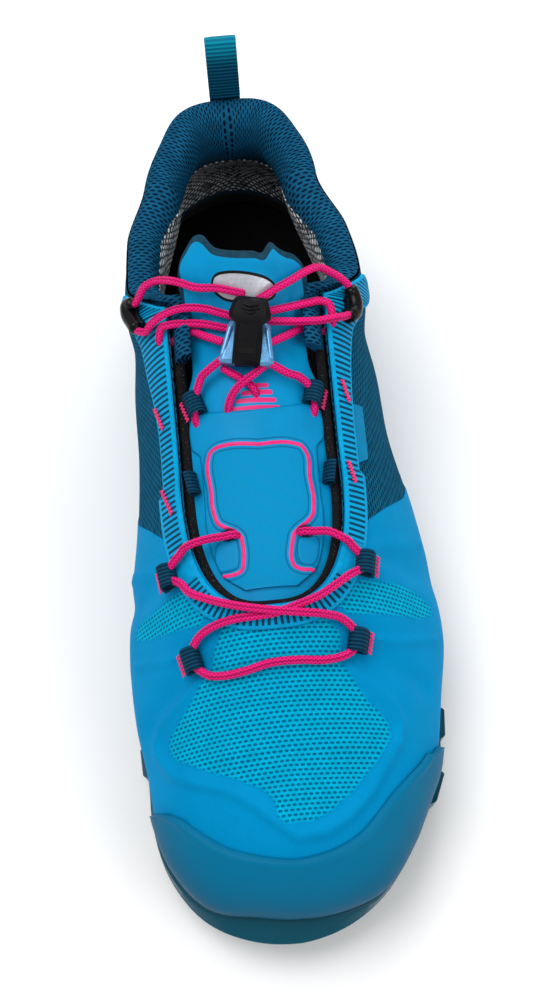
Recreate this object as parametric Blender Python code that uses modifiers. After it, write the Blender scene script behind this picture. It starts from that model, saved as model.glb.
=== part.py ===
# Trail running shoe, left foot. Metres, +Z up, toe towards -Y, outer (lateral) side towards +X.
import math

import bmesh
import bpy
import numpy as np
from mathutils import Matrix, Vector

# Driving sizes of the last
LENGTH = 0.286
BALL_WIDTH = 0.104
HEEL_WIDTH = 0.076
COLLAR_HEIGHT = 0.090
INSTEP_HEIGHT = 0.101
VAMP_HEIGHT = 0.0755

# Sole
HEEL_STACK = 0.030
BALL_STACK = 0.020
LUG_DEPTH = 0.0045
TREAD = 0.0032
WRAP_WALL = 0.0018
TOE_SPRING = 0.009
INSOLE_THICKNESS = 0.0045

# Upper
WALL = 0.0022
THROAT_HALF = 0.0253
THROAT_FRONT = 0.680 * LENGTH
THROAT_BEND = 0.525 * LENGTH
THROAT_POWER = 2.6
CLEAR = 0.0003

# Trim
CAP_WALL = 0.0015
CAP_GAP = 0.0008
STAY_GAP = 0.0007
STAY_WALL = 0.0011
FRONT_WIDTH = 0.0070
TONGUE_WALL = 0.0040
FLAP_WALL = 0.0010
LACE = 0.0026
HOOK = 0.0050
LOOP_LENGTH = 0.0076
PULL_WIDTH = 0.0108
PULL_STRAP = 0.0011
LOCK_WIDTH = 0.0178
LOCK_SLOT = 0.0088
LOCK_LENGTH = 0.0145
LOCK_BASE = 0.0022
LOCK_HEIGHT = 0.0064
LOCK_TURN = 10

# The foot outline is walked from the heel's back to the toe tip: a fan about the heel centre, straight
# sections across, and a fan about the toe centre. A heading of 180 looks back, 90 across, 0 forward.
HEEL_CENTRE = 0.126
TOE_CENTRE = 0.825
HEEL_SHARE = 0.17
TOE_SHARE = 0.78

# One row per rib of the last. Radii are shares of the row's width, heights of the row's height.
# station, heading, width, height, foot medial, lateral, bulge medial, lateral, height,
# shoulder medial, lateral, height, brow medial, lateral, height, edge medial, lateral, height
H, B = HEEL_WIDTH, BALL_WIDTH
C, I, V = COLLAR_HEIGHT, INSTEP_HEIGHT, VAMP_HEIGHT
LAST = [
    (HEEL_CENTRE, 180, H, C, .414, .414, .445, .445, .48, .401, .401, .69, .388, .388, .86, .382, .382, 1.),
    (HEEL_CENTRE, 150, H, C, .428, .428, .46, .46, .48, .414, .414, .69, .405, .405, .86, .403, .408, .995),
    (HEEL_CENTRE, 120, H, C, .454, .454, .484, .484, .48, .428, .428, .69, .395, .395, .85, .376, .382, .96),
    (HEEL_CENTRE, 90, H, C, .474, .474, .500, .500, .48, .447, .447, .69, .414, .401, .82, .408, .388, .917),
    (.203, 90, H, C, .480, .487, .510, .517, .47, .487, .487, .67, .500, .493, .79, .507, .500, .889),
    (.266, 90, H, C, .474, .500, .517, .539, .46, .517, .530, .67, .539, .546, .79, .520, .533, .894),
    (.315, 90, H, C, .467, .513, .521, .558, .44, .520, .539, .68, .507, .520, .87, .382, .395, .994),
    (.357, 90, B, I, .341, .385, .385, .418, .386, .368, .389, .653, .284, .293, .856, 0., 0., 1.),
    (.437, 90, B, I, .346, .413, .389, .437, .366, .356, .389, .624, .269, .279, .797, 0., 0., .931),
    (.524, 90, B, I, .365, .452, .411, .486, .337, .351, .404, .594, .250, .269, .752, 0., 0., .856),
    (.612, 90, B, V, .413, .500, .452, .524, .411, .365, .418, .742, .240, .269, .954, 0., 0., 1.066),
    (.685, 90, B, V, .437, .510, .467, .534, .384, .365, .423, .702, .226, .260, .901, 0., 0., 1.),
    (.752, 90, B, V, .431, .478, .457, .500, .358, .365, .409, .656, .221, .250, .828, 0., 0., .914),
    (TOE_CENTRE, 90, B, V, .409, .440, .428, .460, .344, .361, .394, .583, .212, .240, .728, 0., 0., .788),
    (TOE_CENTRE, 75, B, V, .412, .411, .427, .428, .344, .361, .370, .563, .231, .240, .682, 0., 0., .788),
    (TOE_CENTRE, 55, B, V, .426, .404, .442, .421, .344, .370, .361, .543, .255, .255, .656, 0., 0., .788),
    (TOE_CENTRE, 35, B, V, .433, .416, .450, .435, .351, .370, .365, .543, .264, .269, .642, 0., 0., .788),
    (TOE_CENTRE, 18, B, V, .404, .407, .421, .425, .358, .356, .359, .543, .274, .274, .636, 0., 0., .788),
    (TOE_CENTRE, 0, B, V, .399, .399, .416, .416, .358, .351, .351, .543, .279, .279, .636, 0., 0., .788),
]
CREST_SLOPE = 0.42
LEVELS = 5

# One row per rib of the sole. Radii are shares of the width, the rim's height of the stack.
# station, heading, width, stack, flange medial, lateral, rim, wrap height
S, F = HEEL_STACK, BALL_STACK
WRAP, BUMPER = 0.0055, 0.0075
SOLE = [
    (HEEL_CENTRE, 180, H, S, .474, .474, 1.10, WRAP),
    (HEEL_CENTRE, 150, H, S, .480, .480, 1.10, WRAP),
    (HEEL_CENTRE, 120, H, S, .493, .493, 1.08, WRAP),
    (HEEL_CENTRE, 90, H, S, .507, .513, 1.07, WRAP),
    (.203, 90, H, S, .507, .526, 1.05, WRAP),
    (.315, 90, H, S, .500, .546, .99, WRAP),
    (.437, 90, B, F, .370, .438, 1.36, WRAP),
    (.524, 90, B, F, .400, .480, 1.25, WRAP),
    (.612, 90, B, F, .445, .522, 1.15, WRAP),
    (.685, 90, B, F, .462, .533, 1.12, WRAP),
    (.752, 90, B, F, .462, .518, 1.07, WRAP),
    (TOE_CENTRE, 90, B, F, .452, .488, .955, WRAP),
    (TOE_CENTRE, 75, B, F, .456, .450, .84, WRAP),
    (TOE_CENTRE, 55, B, F, .478, .436, .71, .9 * BUMPER),
    (TOE_CENTRE, 35, B, F, .500, .456, .65, BUMPER),
    (TOE_CENTRE, 18, B, F, .500, .476, .64, BUMPER),
    (TOE_CENTRE, 0, B, F, .494, .494, .64, BUMPER),
]

# The bed under the insole: station as a share of length, stack, height as a share of it
BED = [(.0, S, .95), (.203, S, .945), (.315, S, .905), (.437, F, 1.24), (.524, F, 1.09), (.612, F, .975),
       (.685, F, .925), (.752, F, .89), (TOE_CENTRE, F, .78), (.91, F, .57), (.97, F, .48), (1.01, F, .46)]

# How far the tread's underside leaves the floor: station as a share of length, lift as a share of spring
LIFT = [(.0, .62), (.022, .30), (.048, .07), (.070, .0), (.345, .0), (.42, .13), (.48, .15), (.54, .06),
        (.575, .0), (.715, .0), (.78, .14), (.84, .38), (.91, .70), (.96, .93), (1.01, 1.18)]

collection = bpy.data.collections.new("trail_running_shoe")


def smooth(keys, values, at, limit=False):
    """Cubic curve through the rows of values at the keys; limit keeps it from overshooting."""
    keys = np.asarray(keys, float)
    values = np.asarray(values, float)
    at = np.asarray(at, float)
    flat = values.reshape(len(keys), -1)
    gaps = np.diff(keys)[:, None]
    secants = np.diff(flat, axis=0) / gaps
    slopes = np.empty_like(flat)
    slopes[0], slopes[-1] = secants[0], secants[-1]
    near, far = gaps[:-1], gaps[1:]
    slopes[1:-1] = (far * secants[:-1] + near * secants[1:]) / (near + far)
    if limit:
        product = secants[:-1] * secants[1:]
        total = secants[:-1] + secants[1:]
        safe = np.where(product > 0, total, 1.)
        slopes[1:-1] = np.where(product > 0, 2 * product / safe, 0.)
        slopes[0] *= secants[0] * secants[min(1, len(secants) - 1)] != 0
    cell = np.clip(np.searchsorted(keys, at, side="right") - 1, 0, len(keys) - 2)
    width = np.diff(keys)[cell]
    u = ((at - keys[cell]) / width)[..., None]
    w = width[..., None]
    p, q, m, n = flat[cell], flat[cell + 1], slopes[cell] * w, slopes[cell + 1] * w
    out = p + u * m + u * u * (3 * (q - p) - 2 * m - n) + u ** 3 * (2 * (p - q) + m + n)
    return out.reshape(at.shape + values.shape[1:])


def walk_of(station, heading):
    """Walk share, 0 at the heel's back and 1 at the toe tip, of a rib's row."""
    if station == HEEL_CENTRE and heading > 90:
        return HEEL_SHARE * (180 - heading) / 90
    if station == TOE_CENTRE and heading < 90:
        return 1 - (1 - TOE_SHARE) * heading / 90
    return HEEL_SHARE + (TOE_SHARE - HEEL_SHARE) * (station - HEEL_CENTRE) / (TOE_CENTRE - HEEL_CENTRE)


def frame_of(walk):
    """Station in metres and heading in radians at a walk share."""
    walk = np.asarray(walk, float)
    middle = np.clip((walk - HEEL_SHARE) / (TOE_SHARE - HEEL_SHARE), 0, 1)
    station = (HEEL_CENTRE + middle * (TOE_CENTRE - HEEL_CENTRE)) * LENGTH
    heel = np.clip(walk / HEEL_SHARE, 0, 1)
    toe = np.clip((1 - walk) / (1 - TOE_SHARE), 0, 1)
    heading = np.where(walk < HEEL_SHARE, 180 - 90 * heel, 90 * toe)
    return station, np.radians(heading)


def walk_at(station):
    """Walk share of the straight section at a distance from the heel's back."""
    return walk_of(station / LENGTH, 90)


def throat_half(station):
    """Half width of the throat: parallel sides and a rounded front end."""
    q = np.clip((np.asarray(station) - THROAT_BEND) / (THROAT_FRONT - THROAT_BEND), 0, 1)
    half = THROAT_HALF * (1 - q ** THROAT_POWER) ** (1 / THROAT_POWER)
    return np.where(half > CLEAR, half, 0.)


def last_grid():
    """Dense (radius, height) arrays of the closed last for both sides, over walk and level shares."""
    walks = np.linspace(0, 1, 401)
    keys = [walk_of(r[0], r[1]) for r in LAST]
    rise = np.linspace(0, 1, 161)
    grids = {}
    rim = smooth([walk_of(r[0], r[1]) for r in SOLE], [r[3] * r[6] for r in SOLE], walks)
    foot_z = rim + lift_under_rim(walks) + CLEAR
    heading = frame_of(walks)[1]
    for side, pick in ((-1, 0), (1, 1)):
        rows = []
        for r in LAST:
            radii = [r[4 + pick], r[6 + pick], r[9 + pick], r[12 + pick], r[15 + pick]]
            heights = [0., r[8], r[11], r[14], r[17]]
            rows.append([[a * r[2], b * r[3]] for a, b in zip(radii, heights)])
        body = smooth(keys, np.array(rows)[:, :4], walks)
        straight = sum(r[1] >= 90 for r in LAST)
        before_fan = np.minimum(walks, keys[straight - 1])
        edge = smooth(keys[:straight], np.array(rows)[:straight, 4:], before_fan, limit=True)
        points = np.concatenate([body, edge], axis=1)
        points[:, 0, 1] = foot_z
        chords = np.linalg.norm(np.diff(points, axis=1), axis=2)
        keyed = np.concatenate([np.zeros((len(walks), 1)), np.cumsum(chords, axis=1)], axis=1)
        out = np.empty((len(walks), len(rise), 2))
        closed = 1 - np.clip(points[:, 4, 0] / (.2 * H), 0, 1)
        for n in range(len(walks)):
            out[n] = profile(points[n], keyed[n], rise, closed[n], heading[n])
        grids[side] = out
    return walks, rise, grids


def profile(points, keys, rise, closed, heading):
    """One rib: a cubic through its levels, level with the crest's slope where it closes on top."""
    gaps = np.diff(keys)[:, None]
    secants = np.diff(points, axis=0) / gaps
    slopes = np.empty_like(points)
    slopes[0], slopes[-1] = secants[0], secants[-1]
    slopes[0] = secants[0] + .5 * (secants[0] - secants[1]) * .4
    slopes[1:-1] = (gaps[1:] * secants[:-1] + gaps[:-1] * secants[1:]) / (gaps[:-1] + gaps[1:])
    crest = np.array([-1., CREST_SLOPE * max(0., math.cos(heading))])
    slopes[-1] = (1 - closed) * slopes[-1] + closed * crest
    at = rise * keys[-1]
    cell = np.clip(np.searchsorted(keys, at, side="right") - 1, 0, LEVELS - 2)
    w = np.diff(keys)[cell][:, None]
    u = (at - keys[cell])[:, None] / w
    p, q, m, n = points[cell], points[cell + 1], slopes[cell] * w, slopes[cell + 1] * w
    return p + u * m + u * u * (3 * (q - p) - 2 * m - n) + u ** 3 * (2 * (p - q) + m + n)


def lift_at(station):
    keys, values = zip(*LIFT)
    return TOE_SPRING * smooth(keys, values, np.asarray(station) / LENGTH, limit=True)


def bed_at(station):
    """Height of the foot's bed at a distance from the heel's back."""
    heights = smooth([r[0] for r in BED], [r[1] * r[2] for r in BED], np.asarray(station) / LENGTH)
    return heights + lift_at(station)


def sole_at(walk):
    """Flange radii of both sides, rim height and wrap height at a walk share."""
    keys = [walk_of(r[0], r[1]) for r in SOLE]
    rows = [(r[2] * r[4], r[2] * r[5], r[3] * r[6], r[7]) for r in SOLE]
    return smooth(keys, rows, walk)


def lift_under_rim(walk):
    """Lift of the tread under the outline at a walk share, shared by everything that stands on it."""
    station, heading = frame_of(walk)
    radius = sole_at(walk)[..., :2].mean(axis=-1)
    return lift_at(station + radius * np.cos(heading) * .9)


WALKS, RISE, GRIDS = last_grid()


def rib(side, walk):
    """The rib's (radius, height) curve at one walk share."""
    n = np.clip(walk, 0, 1) * (len(WALKS) - 1)
    k = min(int(n), len(WALKS) - 2)
    return GRIDS[side][k] * (1 - (n - k)) + GRIDS[side][k + 1] * (n - k)


def cut_of(side, walk):
    """Level share at which the rib meets the collar, the throat's edge or the crest."""
    station, heading = frame_of(walk)
    curve = rib(side, walk)
    if walk < HEEL_SHARE or walk > TOE_SHARE:
        return 1.
    half = throat_half(station)
    inside = np.nonzero(curve[:, 0] >= half)[0][-1]
    if inside >= len(RISE) - 1:
        return 1.
    a, b = curve[inside, 0], curve[inside + 1, 0]
    return RISE[inside] + (RISE[1] - RISE[0]) * (a - half) / max(a - b, 1e-9)


def place(side, walk, radius, height):
    station, heading = frame_of(walk)
    y = LENGTH / 2 - station - radius * math.cos(heading)
    return Vector((side * radius * math.sin(heading), y, height)) - CENTRE


def outline_centre():
    """Middle of the sole's outline, which the model's origin stands under."""
    walks = np.linspace(0, 1, 201)
    flange = sole_at(walks)
    station, heading = frame_of(walks)
    medial = (flange[:, 0] * np.sin(heading)).max()
    lateral = (flange[:, 1] * np.sin(heading)).max()
    toe = (station + flange[:, 0] * np.cos(heading)).max()
    heel = (station + flange[:, 0] * np.cos(heading)).min()
    return Vector(((lateral - medial) / 2, LENGTH / 2 - (toe + heel) / 2, 0))


CENTRE = outline_centre()


def surface(side, walk, level):
    """Point and outward normal of the last."""
    def at(w, v):
        curve = rib(side, w)
        r = np.interp(v, RISE, curve[:, 0])
        z = np.interp(v, RISE, curve[:, 1])
        return place(side, w, r, z)
    step = .004
    along = at(min(1, walk + step), level) - at(max(0, walk - step), level)
    if walk > 1 - 1e-6:
        along = Vector((-side, 0, 0))
    if walk < 1e-6:
        along = Vector((side, 0, 0))
    up = at(walk, min(1, level + step)) - at(walk, max(0, level - step))
    normal = along.cross(up) * -side
    return at(walk, level), normal.normalized()


def near_edge(side, walk, along, depth):
    """Point at an arc distance from the rib's edge (below it if negative) and a depth under the surface."""
    cut = cut_of(side, walk)
    curve = rib(side, walk)
    if along >= 0:
        point, normal = surface(side, walk, cut)
        below, _ = surface(side, walk, cut - .02)
        return point + (point - below).normalized() * along - normal * depth
    keep = RISE <= cut
    radii = np.append(curve[keep, 0], np.interp(cut, RISE, curve[:, 0]))
    heights = np.append(curve[keep, 1], np.interp(cut, RISE, curve[:, 1]))
    levels = np.append(RISE[keep], cut)
    arc = np.concatenate([[0], np.cumsum(np.hypot(np.diff(radii), np.diff(heights)))])
    level = np.interp(arc[-1] + along, arc, levels)
    point, normal = surface(side, walk, level)
    return point - normal * depth


def on_last(x, station, lift):
    """Point at a lift over the last, above a place in plan (x before centring, metres from the heel)."""
    side = 1 if x >= 0 else -1
    walk = walk_at(station)
    curve = rib(side, walk)
    top = int(np.argmax(curve[:, 0]))
    level = np.interp(-abs(x), -curve[top:, 0], RISE[top:])
    point, normal = surface(side, walk, level)
    return point + normal * lift, normal


def material(name, colour, roughness=.6, metallic=0.):
    mat = bpy.data.materials.get(name)
    if mat is None:
        mat = bpy.data.materials.new(name)
        mat.use_nodes = True
        shader = mat.node_tree.nodes["Principled BSDF"]
        shader.inputs["Base Color"].default_value = (*colour, 1)
        shader.inputs["Roughness"].default_value = roughness
        shader.inputs["Metallic"].default_value = metallic
    return mat


RUBBER = ("teal rubber", (.0, .12, .19), .35)
FOAM = ("blue foam", (.0, .16, .28), .7)
CLOTH = ("blue overlay", (.0, .27, .55), .55)
KNIT = ("dark blue knit", (.02, .08, .15), .9)
TAPE = ("striped tape", (.01, .25, .42), .7)
WEBBING = ("dark webbing", (.01, .05, .08), .8)
LINING = ("black lining", (.01, .01, .012), .9)
CORD = ("pink cord", (.8, .01, .16), .6)
PLASTIC = ("black plastic", (.01, .01, .012), .35)
SILVER = ("pale blue metal", (.25, .42, .6), .3)


def finish(name, bm, look):
    bmesh.ops.remove_doubles(bm, verts=bm.verts, dist=1e-6)
    bmesh.ops.dissolve_degenerate(bm, edges=bm.edges, dist=1e-6)
    bmesh.ops.recalc_face_normals(bm, faces=bm.faces)
    closed = all(len(edge.link_faces) == 2 for edge in bm.edges)
    if closed and bm.calc_volume(signed=True) < 0:
        bmesh.ops.reverse_faces(bm, faces=bm.faces)
    mesh = bpy.data.meshes.new(name)
    bm.to_mesh(mesh)
    bm.free()
    mesh.materials.append(material(*look))
    mesh.shade_smooth()
    mesh.set_sharp_from_angle(angle=math.radians(40))
    obj = bpy.data.objects.new(name, mesh)
    collection.objects.link(obj)
    return obj


def add_grid(bm, rows, wrap=False):
    """Quads between rows of points."""
    verts = [[bm.verts.new(p) for p in row] for row in rows]
    count = len(verts)
    for i in range(count if wrap else count - 1):
        a, b = verts[i], verts[(i + 1) % count]
        for j in range(len(a) - 1):
            bm.faces.new((a[j], a[j + 1], b[j + 1], b[j]))
    return verts


def loft(name, rings, look):
    """Solid through closed rings of equal count, capped at both ends."""
    bm = bmesh.new()
    verts = add_grid(bm, [list(r) + [r[0]] for r in rings])
    for ring in (verts[0], verts[-1]):
        bm.faces.new(ring[:-1])
    return finish(name, bm, look)


def slab(name, under, over, look):
    """Solid between two matching open grids."""
    bm = bmesh.new()
    add_grid(bm, under)
    add_grid(bm, over)
    borders = []
    for grid in (under, over):
        ring = list(grid[0]) + [r[-1] for r in grid[1:]] + list(grid[-1][-2::-1])
        ring += [r[0] for r in grid[-2:0:-1]]
        borders.append(ring + [ring[0]])
    add_grid(bm, borders)
    return finish(name, bm, look)


def round_ribs(count_heel, stations, count_toe):
    """Walk shares of the ribs on one side, from the heel's back to the toe tip."""
    heel = [HEEL_SHARE * k / count_heel for k in range(count_heel)]
    toe = [TOE_SHARE + (1 - TOE_SHARE) * k / count_toe for k in range(count_toe + 1)]
    return heel + [walk_at(s) for s in stations] + toe


def round_loft(name, walks, section, look):
    """Solid whose section from the centre line out and back is given for each rib round the foot."""
    ribs = [(1, w) for w in walks] + [(-1, w) for w in walks[-2:0:-1]]
    bm = bmesh.new()
    rows = [[place(s, w, r, z) for r, z in section(s, w)] for s, w in ribs]
    add_grid(bm, rows, wrap=True)
    return finish(name, bm, look)


# Shares of the flange's radius at which the tread is cut, and where the wrapped edge bends
INNER = (0, .35, .7)
BEND_LEAN = .35
BEND_HEIGHT = .6


def tread_z(walk, radius):
    """Height of the tread's underside at a radius."""
    station, heading = frame_of(walk)
    return LUG_DEPTH + float(lift_at(station + radius * math.cos(heading)))


def wrap_of(side, walk):
    """Flange radius, height of its wrapped edge and how far the toe's bumper leans in over it."""
    row = sole_at(walk)
    flange = row[1] if side > 0 else row[0]
    share = np.clip((row[3] - WRAP) / (BUMPER - WRAP), 0, 1)
    reach = flange - .0006 - (ledge_of(side, walk) + CLEAR + WRAP_WALL)
    return flange, row[3], max(0., share * reach)


def ledge_of(side, walk):
    """Outer radius of the midsole's rim, which the toe cap stands on too."""
    return rib(side, walk)[0, 0] + CAP_WALL + .0006


def outsole_section(side, walk):
    """Tread sheet with its edge wrapped up round the midsole."""
    flange, wrap, lean = wrap_of(side, walk)
    base = tread_z(walk, flange - .003)
    lip = flange - .0006 - lean
    inner = lip - WRAP_WALL
    points = [(flange * a, tread_z(walk, flange * a)) for a in INNER]
    points += [(flange - .0030, base), (flange - .0006, base + .0014), (flange, base + .0032)]
    points += [(flange - BEND_LEAN * lean - .0002, base + BEND_HEIGHT * wrap)]
    points += [(lip, base + wrap), (inner, base + wrap)]
    floor = min(inner - .0006, flange - .0030 - WRAP_WALL)
    points += [(inner, base + TREAD + .0012), (floor, base + TREAD)]
    points += [(flange * a, tread_z(walk, flange * a) + TREAD) for a in INNER[::-1]]
    return points


def midsole_section(side, walk):
    """Foam wedge: flat on the tread, a ribbed side wall, a rim and the sunk bed of the foot."""
    flange, wrap, lean = wrap_of(side, walk)
    rim = sole_at(walk)[2] + float(lift_under_rim(walk))
    inner = flange - .0006 - lean - WRAP_WALL - CLEAR
    base = tread_z(walk, flange - .003)
    lip = base + wrap + CLEAR
    foot = rib(side, walk)[0, 0]
    ledge = ledge_of(side, walk)
    start = min(inner - .0006, flange - .0030 - WRAP_WALL - CLEAR)
    points = [(flange * a, tread_z(walk, flange * a) + TREAD + CLEAR) for a in INNER]
    points += [(start, base + TREAD + 2 * CLEAR), (inner, base + TREAD + .0012 + CLEAR), (inner, lip)]
    side_wall = inner + (WRAP_WALL - .0002 if wrap <= WRAP * 1.02 else -.0001)
    height = rim - lip
    steps = ((.04, .0), (.30, .0008), (.36, -.0006), (.50, -.0006), (.56, .0006), (.84, .0003))
    for share, bulge in steps:
        points.append((side_wall + (ledge - side_wall) * share + bulge, lip + height * share))
    points += [(ledge, rim - .0006), (ledge - .0006, rim)]
    cup = foot - WALL - .0012
    points += [(cup, rim)]
    points += [(a, bed_z(walk, a)) for a in (cup - .0012, cup * .6, cup * .3, 0)]
    return points


def bed_z(walk, radius):
    """Height of the foot's bed at a radius."""
    station, heading = frame_of(walk)
    return float(bed_at(station + radius * math.cos(heading)))


def insole_section(side, walk):
    """Thin footbed lying in the rim's cup, thicker round its edge."""
    cup = rib(side, walk)[0, 0] - WALL - .0012
    edge = cup - .0012 - CLEAR
    under = [(a, bed_z(walk, a) + CLEAR) for a in (0, cup * .3, cup * .6, edge)]
    top = INSOLE_THICKNESS + CLEAR
    over = [(edge, top - .0012), (edge - .0012, top), (edge - .006, top - .0006), (edge * .5, top - .001)]
    over.append((0, top - .001))
    return under + [(a, bed_z(walk, a) + z) for a, z in over]


def add_prism(bm, low, high):
    """Block between two matching outlines."""
    a = [bm.verts.new(p) for p in low]
    b = [bm.verts.new(p) for p in high]
    bm.faces.new(a)
    bm.faces.new(b[::-1])
    for k in range(len(a)):
        n = (k + 1) % len(a)
        bm.faces.new((a[k], b[k], b[n], a[n]))


def helper(name, bm):
    """Object that is joined to a body later."""
    bmesh.ops.recalc_face_normals(bm, faces=bm.faces)
    mesh = bpy.data.meshes.new(name)
    bm.to_mesh(mesh)
    bm.free()
    obj = bpy.data.objects.new(name, mesh)
    collection.objects.link(obj)
    return obj


def add_lug(bm, outline, top):
    """Tread lug: tapered block from inside the tread down to the floor line."""
    centre = Vector((sum(p[0] for p in outline), sum(p[1] for p in outline))) / len(outline)
    low, high = [], []
    for x, s in outline:
        tip = centre + (Vector((x, s)) - centre) * LUG_TAPER
        low.append(Vector((tip.x, LENGTH / 2 - tip.y, float(lift_at(tip.y)))) - CENTRE)
        high.append(Vector((x, LENGTH / 2 - s, float(lift_at(s)) + top)) - CENTRE)
    add_prism(bm, low, high)


def half_width(side, station):
    """Distance from the spine to the flange at a station, round the heel and toe too."""
    walks = np.linspace(0, 1, 401)
    row = sole_at(walks)[:, 1 if side > 0 else 0]
    where, heading = frame_of(walks)
    return float(np.interp(station, where + row * np.cos(heading), row * np.sin(heading)))


LUG_PITCH = 0.0172
LUG_SIZE = 0.0100
LUG_POINT = 0.0022
LUG_INSET = 0.0062
LUG_TAPER = 0.84
LUG_ROWS = (.060, .122, .184, .246, .308, .560, .621, .682, .743, .804, .865, .920)

# Lugs on the sole's side: station as a share of length, side
SIDE_LUGS = [(.10, 1), (.19, 1), (.28, 1), (.58, 1), (.67, 1), (.76, 1), (.84, 1),
             (.10, -1), (.19, -1), (.28, -1), (.58, -1), (.67, -1), (.775, -1)]
# Outline of a side lug: distance along the foot, reach past the flange
SIDE_LUG = [(-.0065, -.0014), (-.0045, .0016), (.0045, .0016), (.0065, -.0014)]
SIDE_LUG_DRAFT = 0.0012
SIDE_LUG_HEIGHT = 0.0045


def tread_lugs():
    """Chevron rows of lugs under heel and forefoot."""
    bm = bmesh.new()
    for share in LUG_ROWS:
        s = share * LENGTH
        left = half_width(-1, s) - LUG_INSET
        right = half_width(1, s) - LUG_INSET
        count = max(2, int((left + right) / LUG_PITCH))
        w, d = LUG_SIZE * .5, LUG_SIZE * .42
        lean = LUG_POINT * (1 if s > .5 * LENGTH else -1)
        for k in range(count):
            x = -left + (left + right) * (k + .5) / count
            outline = [(x - w, s - d), (x, s - d + lean), (x + w, s - d)]
            outline += [(x + w, s + d * .6), (x, s + d * .6 + lean), (x - w, s + d * .6)]
            add_lug(bm, outline, LUG_DEPTH + .001)
    return helper("lugs", bm)


def side_lugs():
    """Blocks on the sole's side that reach past the flange."""
    bm = bmesh.new()
    for share, side in SIDE_LUGS:
        s = share * LENGTH
        low, high = [], []
        for along, reach in SIDE_LUG:
            q = s + along
            x = side * (half_width(side, q) + reach)
            lift = float(lift_at(q))
            low.append(Vector((x - side * SIDE_LUG_DRAFT, LENGTH / 2 - q, lift)) - CENTRE)
            high.append(Vector((x, LENGTH / 2 - q, lift + LUG_DEPTH + SIDE_LUG_HEIGHT)) - CENTRE)
        add_prism(bm, low, high)
    return helper("side lugs", bm)


def join(body, *others):
    """Boolean union of helper meshes into a body."""
    for other in others:
        mod = body.modifiers.new("join", "BOOLEAN")
        mod.operation = "UNION"
        mod.object = other
    shape = bpy.context.evaluated_depsgraph_get()
    mesh = bpy.data.meshes.new_from_object(body.evaluated_get(shape))
    mesh.name = body.name
    body.modifiers.clear()
    body.data = mesh
    for other in others:
        bpy.data.objects.remove(other)
    return body


def make_sole():
    stations = [s * LENGTH for s in np.linspace(HEEL_CENTRE, .79, 11)]
    walks = round_ribs(5, stations, 6)
    outsole = round_loft("outsole", walks, outsole_section, RUBBER)
    bpy.context.view_layer.update()
    join(outsole, tread_lugs(), side_lugs())
    round_loft("midsole", walks, midsole_section, FOAM)
    round_loft("insole", walks, insole_section, LINING)


# Stations of the upper's ribs along the throat and in front of it
FRONT_RIBS = (.705, .735, .768, .803)
SIDE_RIBS = (.165, .203, .238, .266, .290, .308, .320, .334, .357, .395, .437, .48)


def upper_walks():
    """Ribs of the upper: close together where the topline turns in and round the throat's front."""
    turns = [math.sin(math.radians(90 * k / 8)) for k in range(9)]
    bend = [THROAT_BEND + (THROAT_FRONT - THROAT_BEND) * turn for turn in turns]
    front = [s * LENGTH for s in FRONT_RIBS]
    return round_ribs(7, [HEEL_CENTRE * LENGTH] + [s * LENGTH for s in SIDE_RIBS] + bend + front, 9)


# How much of the level spacing the collar's and throat's cut may squeeze
EDGE_PULL = 0.8
UPPER_LEVELS = (0., .10, .22, .35, .48, .61, .74, .87, 1.)


def make_upper():
    """Open grid from the foot line to collar, throat edge or crest, thickened inwards."""
    walks = sorted(set(round(w, 6) for w in upper_walks()))
    ribs = [(1, w) for w in walks] + [(-1, w) for w in walks[-2:0:-1]]
    levels = np.array(UPPER_LEVELS)
    rows = []
    for side, w in ribs:
        cut = cut_of(side, w)
        curve = rib(side, w)
        reached = levels - (1 - cut) * levels ** (EDGE_PULL / max(1 - cut, .1))
        r = np.interp(reached, RISE, curve[:, 0])
        z = np.interp(reached, RISE, curve[:, 1])
        rows.append([place(side, w, a, b) for a, b in zip(r, z)])
    bm = bmesh.new()
    add_grid(bm, rows, wrap=True)
    obj = finish("upper", bm, CLOTH)
    shell = obj.modifiers.new("wall", "SOLIDIFY")
    shell.thickness = WALL
    shell.offset = -1
    shell.use_even_offset = True
    return obj


# One row per section of the tongue, from under the vamp to its top
# station, centre height (share of instep height), sag at half a throat's width, half width, thickness
TONGUE = [
    (.700, .690, .074, .20, .60), (.665, .716, .080, .23, .65), (.612, .757, .080, .25, .75),
    (.524, .815, .092, .258, .85), (.437, .886, .106, .240, .9), (.408, .906, .122, .195, .95),
    (.367, .945, .133, .190, 1.), (.332, 1.010, .122, .197, 1.05), (.306, 1.085, .092, .213, .9),
    (.276, 1.160, .080, .213, .8),
]
SAG_AT = 0.024

# The tongue's top edge: share of its half width, distance back from its last full section
TONGUE_TOP = [(-1., .0030), (-.83, -.0028), (-.66, -.0068), (-.5, -.0045), (-.33, -.0022), (0., -.0008),
              (.33, -.0004), (.5, -.0030), (.66, -.0014), (.83, -.0008), (1., .0030)]
TOP_SHARE = .306
BACK_SHARE = .985
TONGUE_RINGS = (.700, .665, .612, .568, .524, .480, .437, .408, .386, .367, .349, .332, .320)


def tongue_point(station, across, drop):
    """Point of the tongue: across from -1 to 1 of its half width, drop under its face."""
    rows = [(r[1] * INSTEP_HEIGHT, r[2] * INSTEP_HEIGHT, r[3] * BALL_WIDTH, r[4]) for r in TONGUE[::-1]]
    keys = [r[0] * LENGTH for r in TONGUE[::-1]]
    at = smooth(keys, rows, station)
    ahead = smooth(keys, rows, station + .001)
    x = across * at[2]
    z = at[0] - at[1] * (x / SAG_AT) ** 2
    slope = (ahead[0] - at[0]) / .001
    normal = Vector((2 * at[1] * x / SAG_AT ** 2, slope, 1)).normalized()
    point = Vector((x, LENGTH / 2 - station, z)) - CENTRE
    return point - normal * drop * (TONGUE_WALL * at[3]), normal


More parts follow.
